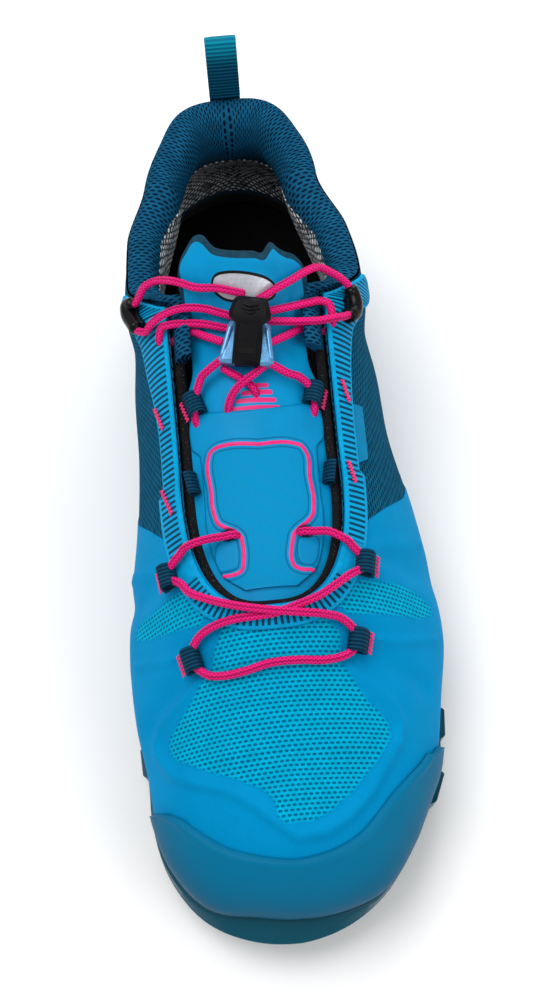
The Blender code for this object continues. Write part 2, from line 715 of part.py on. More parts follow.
def make_tongue():
    """Padded strip under the throat, its top edge drawn out into two blunt tabs."""
    stations = [s * LENGTH for s in TONGUE_RINGS]
    count = 12
    shares = [2 * k / count - 1 for k in range(count + 1)]
    edge = np.interp(shares, *zip(*TONGUE_TOP)) + TOP_SHARE * LENGTH
    rings = []
    for row in [[s] * len(shares) for s in stations] + [list(edge)]:
        face = [tongue_point(s, a, 0)[0] for s, a in zip(row, shares)]
        back = [tongue_point(s, a * BACK_SHARE, 1)[0] for s, a in zip(row[::-1], shares[::-1])]
        rings.append(face + back)
    return loft("tongue", rings, CLOTH)


def spot(x, station, height):
    """World point from the spine's x, the distance from the heel's back and the height."""
    return Vector((x, LENGTH / 2 - station, height)) - CENTRE


# Upper edge of the toe cap from the inner side round to the outer: side, heading, station, height
CAP = [(-1, 80.5, TOE_CENTRE, .0250), (-1, 78, TOE_CENTRE, .0310), (-1, 75, TOE_CENTRE, .0372),
       (-1, 70, TOE_CENTRE, .0415), (-1, 60, TOE_CENTRE, .0440), (-1, 50, TOE_CENTRE, .0450),
       (-1, 40, TOE_CENTRE, .0456), (-1, 30, TOE_CENTRE, .0461), (-1, 20, TOE_CENTRE, .0465),
       (-1, 10, TOE_CENTRE, .0467), (1, 0, TOE_CENTRE, .0467), (1, 10, TOE_CENTRE, .0466),
       (1, 20, TOE_CENTRE, .0464), (1, 30, TOE_CENTRE, .0463), (1, 40, TOE_CENTRE, .0461),
       (1, 50, TOE_CENTRE, .0459), (1, 60, TOE_CENTRE, .0457), (1, 70, TOE_CENTRE, .0452),
       (1, 80, TOE_CENTRE, .0436), (1, 90, TOE_CENTRE, .0400), (1, 90, .813, .0340), (1, 90, .807, .0272)]


def make_toe_cap():
    """Rubber cap over the toe, standing on the sole's rim: its top edge follows the table."""
    under, over = [], []
    for side, heading, station, height in CAP:
        walk = walk_of(station, heading)
        curve = rib(side, walk)
        top = np.interp(height, curve[:, 1], RISE) if height > curve[0, 1] else .02
        floor = float(sole_at(walk)[2] + lift_under_rim(walk)) + CLEAR
        rows = []
        for lift in (CAP_GAP, CAP_GAP + CAP_WALL):
            row = []
            for share in (0, .2, .4, .6, .8, 1):
                point, normal = surface(side, walk, .005 + (max(top, .03) - .005) * share)
                point = point + normal * lift
                point.z = max(point.z, floor + .0001)
                row.append(point)
            rows.append(row)
        under.append(rows[0])
        over.append(rows[1])
    return slab("toe_cap", under, over, RUBBER)


# Width of the lace band beside the throat: station, width on the inner side, on the outer side
STAY = [(.272, .0050, .0050), (.290, .0105, .0105), (.312, .0140, .0155), (.335, .0155, .0160),
        (.360, .0150, .0125), (.390, .0130, .0100), (.420, .0102, .0086), (.450, .0086, .0078),
        (.525, .0080, .0070)]
STAY_RIBS = (.277, .290, .303, .315, .325, .335, .347, .360, .378, .395, .437, .48, .525)


def stay_rows(lift):
    """Rows across the lace band, from the inner collar corner round the throat to the outer one."""
    keys = [row[0] for row in STAY]
    sides = [s * LENGTH for s in STAY_RIBS]
    arms = {}
    for side in (-1, 1):
        rows = []
        widths = [row[1 if side < 0 else 2] for row in STAY]
        for station in sides:
            width = float(smooth(keys, widths, station / LENGTH))
            walk = walk_at(station)
            rows.append([near_edge(side, walk, -.0004 - width * a, -lift) for a in (0, .5, 1)])
        for k in range(1, 7):
            angle = math.radians(90 * k / 7)
            station = THROAT_BEND + (THROAT_FRONT - THROAT_BEND) * math.sin(angle)
            x = float(throat_half(station))
            ahead = float(throat_half(station + .0002))
            out = Vector((.0002, x - ahead)).normalized()
            row = []
            for a in (0, .5, 1):
                reach = .0004 + FRONT_WIDTH * a
                row.append(on_last(side * (x + out.x * reach), station + out.y * reach, lift)[0])
            rows.append(row)
        arms[side] = rows
    tip = [on_last(0., THROAT_FRONT + .0004 + FRONT_WIDTH * a, lift)[0] for a in (0, .5, 1)]
    return arms[-1] + [tip] + arms[1][::-1]


def make_eyestay():
    return slab("eyestay", stay_rows(STAY_GAP), stay_rows(STAY_GAP + STAY_WALL), TAPE)


# Section of the collar's padding and of the strip beside the throat: distance past the edge, depth, in mm
COLLAR_ROLL = [(-29, 3.6), (-20, 3.6), (-10, 3.9), (.6, 3.1), (.6, .6), (2.4, 2.2), (3.2, 5.5), (1.8, 9.6),
               (-4, 12.4), (-12, 12.6), (-22, 9.0)]
THROAT_ROLL = [(-8, 3.4), (-6, 3.4), (-3, 3.3), (.5, 3.0), (1.2, 1.6), (2.8, 1.2), (4.0, 1.9), (4.3, 3.1),
               (3.2, 4.4), (-2, 5.8), (-7, 5.5)]


def make_collar_padding():
    """Soft roll inside the topline, thinning into a strip down each side of the throat."""
    sides = [walk_at(s * LENGTH) for s in SIDE_RIBS[9::-1]]
    walks = sides + [HEEL_SHARE * (1 - k / 7) for k in range(7)]
    ribs = [(1, w) for w in walks] + [(-1, w) for w in [0.] + walks[::-1]]
    rings = []
    for side, walk in ribs:
        station = float(frame_of(walk)[0])
        share = float(np.clip((station / LENGTH - .285) / .040, 0, 1)) if walk > HEEL_SHARE else 0.
        share = share * share * (3 - 2 * share)
        ring = []
        for (a, b), (c, d) in zip(COLLAR_ROLL, THROAT_ROLL):
            along = a + (c - a) * share
            depth = b + (d - b) * share
            ring.append(near_edge(side, walk, along / 1000, depth / 1000))
        rings.append(ring)
    return loft("collar_padding", rings, KNIT)


# Half width of the lace cover on the tongue: station, half width
COVER = [(.459, .0205), (.474, .0215), (.490, .0212), (.502, .0186), (.558, .0184), (.570, .0187),
         (.60, .0180), (.635, .0150), (.656, .0085)]


def make_tongue_flap():
    """Thin cover on the tongue under the lower lacing."""
    rows = {0: [], 1: []}
    lifts = {0: CLEAR, 1: CLEAR + FLAP_WALL}
    for share, half in COVER:
        station = share * LENGTH
        for k in (0, 1):
            row = []
            for a in (-1, -.66, -.33, 0, .33, .66, 1):
                wide = .5 * tongue_width(station)
                point, normal = tongue_point(station, a * half / wide, 0)
                row.append(point + normal * lifts[k])
            rows[k].append(row)
    return slab("tongue_flap", rows[0], rows[1], CLOTH)


def tongue_width(station):
    keys = [r[0] * LENGTH for r in TONGUE[::-1]]
    return 2 * float(smooth(keys, [r[3] * BALL_WIDTH for r in TONGUE[::-1]], station))


# The heel loop's strap seen from the side: distance from the heel's back and height, in mm
PULL = [(9.3, 94.8), (9.0, 100.5), (8.1, 108.0), (6.3, 114.4), (4.3, 117.3), (2.4, 116.6), (1.6, 113.0),
        (2.3, 104.5), (4.4, 96.5), (5.9, 90.0), (5.7, 84.0), (5.5, 77.0), (5.1, 71.0), (4.7, 66.0)]


def make_pull_loop():
    """Webbing strap standing in a loop over the heel and stitched down its back."""
    path = np.array(PULL) / 1000
    ahead = np.gradient(path, axis=0)
    ahead /= np.linalg.norm(ahead, axis=1)[:, None]
    rings = []
    for (s, z), (ds, dz) in zip(path, ahead):
        across = Vector((0, -dz, -ds)) * PULL_STRAP / 2
        half = Vector((PULL_WIDTH / 2, 0, 0))
        centre = spot(0, s, z)
        rings.append([centre - half - across, centre + half - across, centre + half + across,
                      centre - half + across])
    return loft("pull_loop", rings, WEBBING)


# Lace loops of folded webbing: name, x, station, lift of the lace over its base, turn of the tunnel in
# degrees, and on the tongue how much of the full width they have
LOOPS = [
    ("loop_front_inner", -.0252, .2060, .0032, 8), ("loop_front_outer", .0240, .2056, .0032, -8),
    ("loop_mid_inner", -.0293, .1790, .0048, 4), ("loop_mid_outer", .0278, .1822, .0048, -6),
]
TONGUE_LOOPS = [
    ("loop_lock_inner", -.0176, .1262, .0032, 12, 1.), ("loop_lock_outer", .0178, .1262, .0032, -12, 1.),
    ("loop_flap_inner", -.0206, .1505, .0032, 4, .48), ("loop_flap_outer", .0205, .1510, .0032, -4, .48),
]

# Section of a lace loop, seen along its tunnel: outwards and up from the lace's centre, in mm
LOOP_OUTER = [(4.6, -2.7), (4.6, -1.7), (2.6, 1.3), (.9, 2.7), (-.9, 2.7), (-2.7, 1.2), (-2.7, -1.4),
              (-1.5, -2.7)]
LOOP_INNER = [(1.5, -1.6), (2., -.9), (1.9, .6), (.8, 1.8), (-.8, 1.8), (-1.85, .8), (-1.85, -.8),
              (-1.1, -1.6)]


def make_loop(name, base, normal, side, lift, turn, wide=1.):
    """Closed band of webbing round the lace, its tunnel along the foot."""
    along = Matrix.Rotation(math.radians(turn), 3, normal) @ Vector((0, -1, 0))
    along = (along - normal * along.dot(normal)).normalized()
    out = normal.cross(along)
    if out.x * side < 0:
        out = -out
    rows = []
    for face, t in ((LOOP_OUTER, -.5), (LOOP_OUTER, .5), (LOOP_INNER, .5), (LOOP_INNER, -.5)):
        centre = base + normal * lift + along * LOOP_LENGTH * t
        rows.append([centre + (out * a * wide + normal * b) / 1000 for a, b in face])
    rows = [row + [row[0]] for row in rows]
    bm = bmesh.new()
    add_grid(bm, rows, wrap=True)
    return finish(name, bm, WEBBING)


def make_loops():
    for name, x, station, lift, turn in LOOPS:
        base, normal = on_last(x, station, 0)
        make_loop(name, base, normal, 1 if x > 0 else -1, lift, turn)
    for name, x, station, lift, turn, wide in TONGUE_LOOPS:
        base, normal = tongue_point(station, x / (tongue_width(station) / 2), 0)
        make_loop(name, base, normal, 1 if x > 0 else -1, lift, turn, wide)


def tube(name, points, diameter, look, corners=1):
    """Round bar along a smooth route through the points."""
    data = bpy.data.curves.new(name, "CURVE")
    data.dimensions = "3D"
    data.bevel_depth = diameter / 2
    data.bevel_resolution = corners
    data.use_fill_caps = True
    spline = data.splines.new("POLY")
    spline.points.add(len(points) - 1)
    for knot, point in zip(spline.points, points):
        knot.co = (*point, 1)
    data.materials.append(material(*look))
    obj = bpy.data.objects.new(name, data)
    collection.objects.link(obj)
    return obj


# Lacing hooks at the collar's corners: side, then station and distance from the edge along the arc, in mm
HOOKS = {
    "hook_inner": (-1, [(87.2, -.8), (86.8, -4.4), (89.8, -9.0), (93.8, -11.0), (97.0, -9.4)]),
    "hook_outer": (1, [(89.3, -1.0), (91.2, -6.5), (95.0, -9.8), (98.6, -9.2), (100.4, -6.6)]),
}


def make_hooks():
    lift = CLEAR * 2 + STAY_WALL + HOOK / 2 + .0004
    for name, (side, arc) in HOOKS.items():
        points = [near_edge(side, walk_at(s / 1000), a / 1000, -lift) for s, a in arc]
        tube(name, points, HOOK, PLASTIC, 2)


LOCK_STATION = 0.1106
LOCK_REACH = 0.009
SLIDER_START = 0.0115
# The cord lock's slider: distance from its top end, half width, underside and top over the tongue, in mm
SLIDER = [(-1.6, 4.8, 7.1, 8.4), (-.2, 5.6, 7., 9.6), (3.6, 6.7, 6.9, 9.9), (5.2, 6.7, 6.9, 9.9),
          (7.2, 4.3, 6.9, 9.6), (8., 4.2, 3.1, 9.5), (14., 4.2, 3.1, 9.3), (19.2, 4.0, 3.1, 8.6),
          (20.4, 3.6, 3.6, 7.4)]
# Stages of the housing along its length: share, how far its sides and top are set in
HOUSING = [(-.5, .0026), (-.42, .0020), (.42, 0), (.5, .0008)]
HOUSING_SHIFT = 0.0012


def lock_frame():
    """Middle of the chord it lies on over the tongue, and directions down the shoe, across and up."""
    head, _ = tongue_point(LOCK_STATION - LOCK_REACH, 0, 0)
    foot, _ = tongue_point(LOCK_STATION + LOCK_REACH, 0, 0)
    _, normal = tongue_point(LOCK_STATION, 0, 0)
    down = (foot - head).normalized()
    normal = (normal - down * normal.dot(down)).normalized()
    down = Matrix.Rotation(math.radians(-LOCK_TURN), 3, normal) @ down
    return (head + foot) / 2 + normal * CLEAR, down, normal.cross(down), normal


def make_lock():
    """Cord lock: a channel that the laces run through and the slider that grips them."""
    base, down, across, up = lock_frame()
    half, slot = LOCK_WIDTH / 2, LOCK_SLOT / 2
    low, floor, top = .0006, .0006 + LOCK_BASE, LOCK_HEIGHT
    rings = []
    for t, inset in HOUSING:
        section = [(-half + inset, low), (half - inset, low), (half - inset, top - inset - .0012),
                   (half - inset - .0012, top - inset), (slot, top - inset), (slot, floor), (-slot, floor),
                   (-slot, top - inset), (-half + inset + .0012, top - inset),
                   (-half + inset, top - inset - .0012)]
        centre = base + down * (LOCK_LENGTH * t + HOUSING_SHIFT)
        rings.append([centre + across * a + up * b for a, b in section])
    loft("lock_housing", rings, SILVER)
    rings = []
    for t, wide, low, top in SLIDER:
        centre = base + down * (t / 1000 - SLIDER_START)
        wide, low, top = wide / 1000, low / 1000, top / 1000
        rings.append([centre + across * a + up * b for a, b in
                      ((-wide, low), (wide, low), (wide, top - .0012), (wide - .0014, top),
                       (-wide + .0014, top), (-wide, top - .0012))])
    loft("lock_slider", rings, PLASTIC)


# Lace strands: x, distance from the heel's back and height of the points of each route, in mm
STRANDS = {
    "lace_top_inner": [(-4.3, 96.4, 103.5), (-7.7, 95.4, 103.8), (-15.7, 93.8, 103.4), (-20.0, 91.0, 102.4),
                       (-22.4, 89.7, 101.9), (-25.4, 87.6, 99.8), (-29.7, 85.2, 95.8), (-31.8, 85.4, 94.6)],
    "lace_second_inner": [(-33.0, 99.9, 89.4), (-31.4, 99.4, 92.2), (-28.4, 98.7, 95.0), (-21.5, 98.2, 98.4),
                          (-13.0, 99.4, 98.9), (-8.2, 101.4, 98.8)],
    "lace_third_inner": [(-28.4, 102.8, 92.0), (-27.8, 101.6, 93.2), (-24.8, 101.5, 94.6),
                         (-21.7, 101.7, 95.0), (-13.2, 103.3, 95.8), (-9.8, 104.6, 96.0)],
    "lace_fourth_inner": [(-18.4, 103.3, 91.8), (-13.7, 106.9, 94.2), (-11.5, 108.6, 95.2)],
    "lace_top_outer": [(7.6, 97.9, 102.0), (11.2, 96.2, 102.6), (16.6, 93.6, 103.0), (19.6, 91.4, 102.4),
                       (22.2, 89.8, 101.8), (25.0, 87.8, 99.6), (28.9, 87.9, 96.4)],
    "lace_second_outer": [(8.6, 102.0, 98.3), (14.6, 101.1, 98.2), (20.6, 99.6, 97.2), (24.6, 98.6, 96.2),
                          (27.4, 99.6, 95.2), (28.0, 101.8, 93.8)],
    "lace_third_outer": [(9.6, 105.4, 97.0), (17.3, 105.8, 96.3), (23.9, 105.5, 95.4), (29.2, 104.0, 93.9),
                         (31.4, 103.0, 92.4)],
    "lace_fourth_outer": [(8.9, 111.7, 95.7), (13.1, 109.0, 93.9), (18.0, 105.4, 91.0)],
    "lace_side_inner": [(-10.5, 117.6, 94.8), (-13.8, 119.0, 92.9), (-16.2, 120.0, 90.6),
                        (-16.9, 121.2, 89.6)],
    "lace_side_outer": [(8.0, 120.8, 94.6), (11.8, 122.4, 92.4), (15.3, 122.8, 90.2), (16.5, 123.4, 89.2)],
    "lace_turn_inner": [(-10.7, 171.1, 79.1), (-12.9, 171.4, 79.1), (-17.8, 171.9, 79.3),
                        (-23.1, 173.1, 79.6), (-26.4, 173.5, 76.8), (-27.6, 174.4, 75.6)],
    "lace_turn_outer": [(12.0, 172.1, 78.9), (14.4, 172.4, 78.9), (19.5, 173.2, 79.4), (23.3, 175.4, 79.4),
                        (25.7, 176.7, 77.7), (26.3, 177.4, 77.1)],
    "lace_cross": [(-24.6, 201.4, 69.4), (-22.4, 200.1, 71.4), (-17.8, 198.8, 74.0), (-12.0, 198.4, 76.4),
                   (-5.8, 198.6, 77.8), (.1, 198.5, 78.6), (8.0, 196.2, 78.4), (14.1, 194.1, 78.2),
                   (19.4, 191.0, 77.8), (24.0, 187.8, 76.9)],
    "lace_over": [(-28.0, 184.0, 73.6), (-26.0, 187.2, 74.6), (-21.4, 190.3, 76.1), (-15.6, 193.3, 77.9),
                  (-8.6, 196.1, 79.8), (-.4, 198.4, 81.0), (8.1, 199.1, 79.0), (15.8, 199.4, 76.0),
                  (20.4, 200.2, 73.8)],
    "lace_bar": [(-23.8, 211.2, 66.8), (-21.7, 212.6, 67.0), (-17.7, 213.5, 68.0), (-10.4, 213.5, 70.6),
                 (-2.5, 212.2, 72.2), (6.7, 212.0, 71.9), (14.4, 212.2, 70.3), (19.2, 211.5, 69.6),
                 (21.8, 210.6, 69.4)],
    "lace_end_inner": [(-5.4, 120.9, 91.9), (-3.5, 122.3, 91.7), (-1.6, 124.0, 91.4), (.1, 125.4, 91.1)],
    "lace_end_outer": [(1.8, 122.0, 94.5), (-.2, 123.5, 94.6), (-2.8, 125.2, 94.4), (-4.9, 126.2, 92.8),
                       (-7.0, 127.9, 90.4), (-8.0, 129.6, 88.9)],
}


def make_laces():
    """Strands between loops, hooks and lock; the two that cross are one solid."""
    for name, route in STRANDS.items():
        tube(name, [spot(x / 1000, s / 1000, z / 1000) for x, s, z in route], LACE, CORD)
    bpy.context.view_layer.update()
    join(as_mesh("lace_cross"), as_mesh("lace_over"))


def as_mesh(name):
    """Turns a curve into a mesh object of the same name."""
    curve = bpy.data.objects[name]
    shape = bpy.context.evaluated_depsgraph_get()
    mesh = bpy.data.meshes.new_from_object(curve.evaluated_get(shape))
    bpy.data.objects.remove(curve)
    obj = bpy.data.objects.new(name, mesh)
    collection.objects.link(obj)
    bpy.context.view_layer.update()
    return obj


def main():
    for obj in list(bpy.data.objects):
        bpy.data.objects.remove(obj)
    bpy.context.scene.collection.children.link(collection)
    make_sole()
    make_upper()
    make_tongue()
    make_toe_cap()
    make_eyestay()
    make_collar_padding()
    make_tongue_flap()
    make_pull_loop()
    make_loops()
    make_hooks()
    make_lock()
    make_laces()


main()
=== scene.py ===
# Trail running shoe, left foot: the visible pieces and their finishes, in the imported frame.
import math

import bmesh
import bpy
import numpy as np
from mathutils import Matrix, Vector


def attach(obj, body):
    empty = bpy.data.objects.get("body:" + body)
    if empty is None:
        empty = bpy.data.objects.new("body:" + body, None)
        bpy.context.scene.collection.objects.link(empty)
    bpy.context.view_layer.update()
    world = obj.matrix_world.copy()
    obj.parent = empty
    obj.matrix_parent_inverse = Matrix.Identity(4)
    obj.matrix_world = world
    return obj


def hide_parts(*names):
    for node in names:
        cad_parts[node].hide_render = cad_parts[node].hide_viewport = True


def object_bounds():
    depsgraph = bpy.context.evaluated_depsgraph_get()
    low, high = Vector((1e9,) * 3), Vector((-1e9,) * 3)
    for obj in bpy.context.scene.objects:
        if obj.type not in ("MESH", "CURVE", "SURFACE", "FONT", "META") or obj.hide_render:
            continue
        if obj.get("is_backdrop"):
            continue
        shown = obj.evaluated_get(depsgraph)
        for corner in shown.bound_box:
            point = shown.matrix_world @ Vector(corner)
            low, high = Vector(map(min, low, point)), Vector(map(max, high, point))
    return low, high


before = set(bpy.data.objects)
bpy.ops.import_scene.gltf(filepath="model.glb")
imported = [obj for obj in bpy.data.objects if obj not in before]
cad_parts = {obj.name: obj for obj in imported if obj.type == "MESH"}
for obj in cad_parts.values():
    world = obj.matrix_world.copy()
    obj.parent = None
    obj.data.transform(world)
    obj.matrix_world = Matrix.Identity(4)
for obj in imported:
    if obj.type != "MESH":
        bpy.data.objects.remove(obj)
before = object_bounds()

# Driving sizes of the last, as in the part's source
LENGTH = 0.286
BALL_WIDTH = 0.104
HEEL_WIDTH = 0.076
COLLAR_HEIGHT = 0.090
INSTEP_HEIGHT = 0.101
VAMP_HEIGHT = 0.0755
HEEL_STACK = 0.030
BALL_STACK = 0.020
LUG_DEPTH = 0.0045
TREAD = 0.0032
WRAP_WALL = 0.0018
TOE_SPRING = 0.009
INSOLE_THICKNESS = 0.0045
WALL = 0.0022
THROAT_HALF = 0.0253
THROAT_FRONT = 0.680 * LENGTH
THROAT_BEND = 0.525 * LENGTH
THROAT_POWER = 2.6
CLEAR = 0.0003
CAP_WALL = 0.0015
CAP_GAP = 0.0008
STAY_GAP = 0.0007
STAY_WALL = 0.0011
FRONT_WIDTH = 0.0070
TONGUE_WALL = 0.0040
FLAP_WALL = 0.0010
LACE = 0.0026
HOOK = 0.0050
LOOP_LENGTH = 0.0076
PULL_WIDTH = 0.0108
PULL_STRAP = 0.0011
LOCK_WIDTH = 0.0178
LOCK_SLOT = 0.0088
LOCK_LENGTH = 0.0145
LOCK_BASE = 0.0022
LOCK_HEIGHT = 0.0064
LOCK_TURN = 10
HEEL_CENTRE = 0.126
TOE_CENTRE = 0.825
HEEL_SHARE = 0.17
TOE_SHARE = 0.78

# One row per rib of the last. Radii are shares of the row's width, heights of the row's height.
# Columns: station, heading, width, height, foot medial and lateral, then medial, lateral and height of
# bulge, shoulder, brow and edge
H, B = HEEL_WIDTH, BALL_WIDTH
C, I, V = COLLAR_HEIGHT, INSTEP_HEIGHT, VAMP_HEIGHT
LAST = [
    (HEEL_CENTRE, 180, H, C, .414, .414, .445, .445, .48, .401, .401, .69, .388, .388, .86, .382, .382, 1.),
    (HEEL_CENTRE, 150, H, C, .428, .428, .46, .46, .48, .414, .414, .69, .405, .405, .86, .403, .408, .995),
    (HEEL_CENTRE, 120, H, C, .454, .454, .484, .484, .48, .428, .428, .69, .395, .395, .85, .376, .382, .96),
    (HEEL_CENTRE, 90, H, C, .474, .474, .500, .500, .48, .447, .447, .69, .414, .401, .82, .408, .388, .917),
    (.203, 90, H, C, .480, .487, .510, .517, .47, .487, .487, .67, .500, .493, .79, .507, .500, .889),
    (.266, 90, H, C, .474, .500, .517, .539, .46, .517, .530, .67, .539, .546, .79, .520, .533, .894),
    (.315, 90, H, C, .467, .513, .521, .558, .44, .520, .539, .68, .507, .520, .87, .382, .395, .994),
    (.357, 90, B, I, .341, .385, .385, .418, .386, .368, .389, .653, .284, .293, .856, 0., 0., 1.),
    (.437, 90, B, I, .346, .413, .389, .437, .366, .356, .389, .624, .269, .279, .797, 0., 0., .931),
    (.524, 90, B, I, .365, .452, .411, .486, .337, .351, .404, .594, .250, .269, .752, 0., 0., .856),
    (.612, 90, B, V, .413, .500, .452, .524, .411, .365, .418, .742, .240, .269, .954, 0., 0., 1.066),
    (.685, 90, B, V, .437, .510, .467, .534, .384, .365, .423, .702, .226, .260, .901, 0., 0., 1.),
    (.752, 90, B, V, .431, .478, .457, .500, .358, .365, .409, .656, .221, .250, .828, 0., 0., .914),
    (TOE_CENTRE, 90, B, V, .409, .440, .428, .460, .344, .361, .394, .583, .212, .240, .728, 0., 0., .788),
    (TOE_CENTRE, 75, B, V, .412, .411, .427, .428, .344, .361, .370, .563, .231, .240, .682, 0., 0., .788),
    (TOE_CENTRE, 55, B, V, .426, .404, .442, .421, .344, .370, .361, .543, .255, .255, .656, 0., 0., .788),
    (TOE_CENTRE, 35, B, V, .433, .416, .450, .435, .351, .370, .365, .543, .264, .269, .642, 0., 0., .788),
    (TOE_CENTRE, 18, B, V, .404, .407, .421, .425, .358, .356, .359, .543, .274, .274, .636, 0., 0., .788),
    (TOE_CENTRE, 0, B, V, .399, .399, .416, .416, .358, .351, .351, .543, .279, .279, .636, 0., 0., .788),
]
CREST_SLOPE = 0.42

# One row per rib of the sole. Radii are shares of the width, the rim's height of the stack.
# Columns: station, heading, width, stack, flange medial, lateral, rim, wrap height
S, F = HEEL_STACK, BALL_STACK
WRAP, BUMPER = 0.0055, 0.0075
SOLE = [
    (HEEL_CENTRE, 180, H, S, .474, .474, 1.10, WRAP),
    (HEEL_CENTRE, 150, H, S, .480, .480, 1.10, WRAP),
    (HEEL_CENTRE, 120, H, S, .493, .493, 1.08, WRAP),
    (HEEL_CENTRE, 90, H, S, .507, .513, 1.07, WRAP),
    (.203, 90, H, S, .507, .526, 1.05, WRAP),
    (.315, 90, H, S, .500, .546, .99, WRAP),
    (.437, 90, B, F, .370, .438, 1.36, WRAP),
    (.524, 90, B, F, .400, .480, 1.25, WRAP),
    (.612, 90, B, F, .445, .522, 1.15, WRAP),
    (.685, 90, B, F, .462, .533, 1.12, WRAP),
    (.752, 90, B, F, .462, .518, 1.07, WRAP),
    (TOE_CENTRE, 90, B, F, .452, .488, .955, WRAP),
    (TOE_CENTRE, 75, B, F, .456, .450, .84, WRAP),
    (TOE_CENTRE, 55, B, F, .478, .436, .71, .9 * BUMPER),
    (TOE_CENTRE, 35, B, F, .500, .456, .65, BUMPER),
    (TOE_CENTRE, 18, B, F, .500, .476, .64, BUMPER),
    (TOE_CENTRE, 0, B, F, .494, .494, .64, BUMPER),
]

# The bed under the insole: station as a share of length, stack, height as a share of it
BED = [(.0, S, .95), (.203, S, .945), (.315, S, .905), (.437, F, 1.24), (.524, F, 1.09), (.612, F, .975),
       (.685, F, .925), (.752, F, .89), (TOE_CENTRE, F, .78), (.91, F, .57), (.97, F, .48), (1.01, F, .46)]

# How far the tread's underside leaves the floor: station as a share of length, lift as a share of spring
LIFT = [(.0, .62), (.022, .30), (.048, .07), (.070, .0), (.345, .0), (.42, .13), (.48, .15), (.54, .06),
        (.575, .0), (.715, .0), (.78, .14), (.84, .38), (.91, .70), (.96, .93), (1.01, 1.18)]


def slopes_of(keys, points):
    """Secants between the points and slopes at them."""
    gaps = np.diff(keys)[:, None]
    secants = np.diff(points, axis=0) / gaps
    slopes = np.empty_like(points)
    slopes[0], slopes[-1] = secants[0], secants[-1]
    slopes[1:-1] = (gaps[1:] * secants[:-1] + gaps[:-1] * secants[1:]) / (gaps[:-1] + gaps[1:])
    return secants, slopes


def hermite(keys, points, slopes, at):
    """Cubic curve through the points with the given slopes."""
    cell = np.clip(np.searchsorted(keys, at, side="right") - 1, 0, len(keys) - 2)
    w = np.diff(keys)[cell][..., None]
    u = (at - keys[cell])[..., None] / w
    p, q, m, n = points[cell], points[cell + 1], slopes[cell] * w, slopes[cell + 1] * w
    return p + u * m + u * u * (3 * (q - p) - 2 * m - n) + u ** 3 * (2 * (p - q) + m + n)


def smooth(keys, values, at, limit=False):
    """Cubic curve through the rows of values at the keys; limit keeps it from overshooting."""
    keys, values, at = (np.asarray(v, float) for v in (keys, values, at))
    flat = values.reshape(len(keys), -1)
    secants, slopes = slopes_of(keys, flat)
    if limit:
        product = secants[:-1] * secants[1:]
        total = secants[:-1] + secants[1:]
        safe = np.where(product > 0, total, 1.)
        slopes[1:-1] = np.where(product > 0, 2 * product / safe, 0.)
        slopes[0] *= secants[0] * secants[min(1, len(secants) - 1)] != 0
    return hermite(keys, flat, slopes, at).reshape(at.shape + values.shape[1:])


def arc_of(points):
    """Distance from the first point along a polyline to each of its points."""
    return np.concatenate([[0], np.cumsum(np.linalg.norm(np.diff(points, axis=0), axis=1))])


def walk_of(station, heading):
    """Walk share, 0 at the heel's back and 1 at the toe tip, of a rib's row."""
    if station == HEEL_CENTRE and heading > 90:
        return HEEL_SHARE * (180 - heading) / 90
    if station == TOE_CENTRE and heading < 90:
        return 1 - (1 - TOE_SHARE) * heading / 90
    return HEEL_SHARE + (TOE_SHARE - HEEL_SHARE) * (station - HEEL_CENTRE) / (TOE_CENTRE - HEEL_CENTRE)


def frame_of(walk):
    """Station in metres and heading in radians at a walk share."""
    walk = np.asarray(walk, float)
    middle = np.clip((walk - HEEL_SHARE) / (TOE_SHARE - HEEL_SHARE), 0, 1)
    station = (HEEL_CENTRE + middle * (TOE_CENTRE - HEEL_CENTRE)) * LENGTH
    heel = np.clip(walk / HEEL_SHARE, 0, 1)
    toe = np.clip((1 - walk) / (1 - TOE_SHARE), 0, 1)
    heading = np.where(walk < HEEL_SHARE, 180 - 90 * heel, 90 * toe)
    return station, np.radians(heading)


def walk_at(station):
    """Walk share of the straight section at a distance from the heel's back."""
    return walk_of(station / LENGTH, 90)


def walks_between(first, last, count):
    """Evenly spaced walk shares of the straight section between two station shares."""
    return [walk_of(s, 90) for s in np.linspace(first, last, count)]


def all_round(walks):
    """Sides and walk shares of ribs right round the foot."""
    return [(1, w) for w in walks] + [(-1, w) for w in walks[-2:0:-1]]


def throat_half(station):
    """Half width of the throat: parallel sides and a rounded front end."""
    q = np.clip((np.asarray(station) - THROAT_BEND) / (THROAT_FRONT - THROAT_BEND), 0, 1)
    half = THROAT_HALF * (1 - q ** THROAT_POWER) ** (1 / THROAT_POWER)
    return np.where(half > CLEAR, half, 0.)


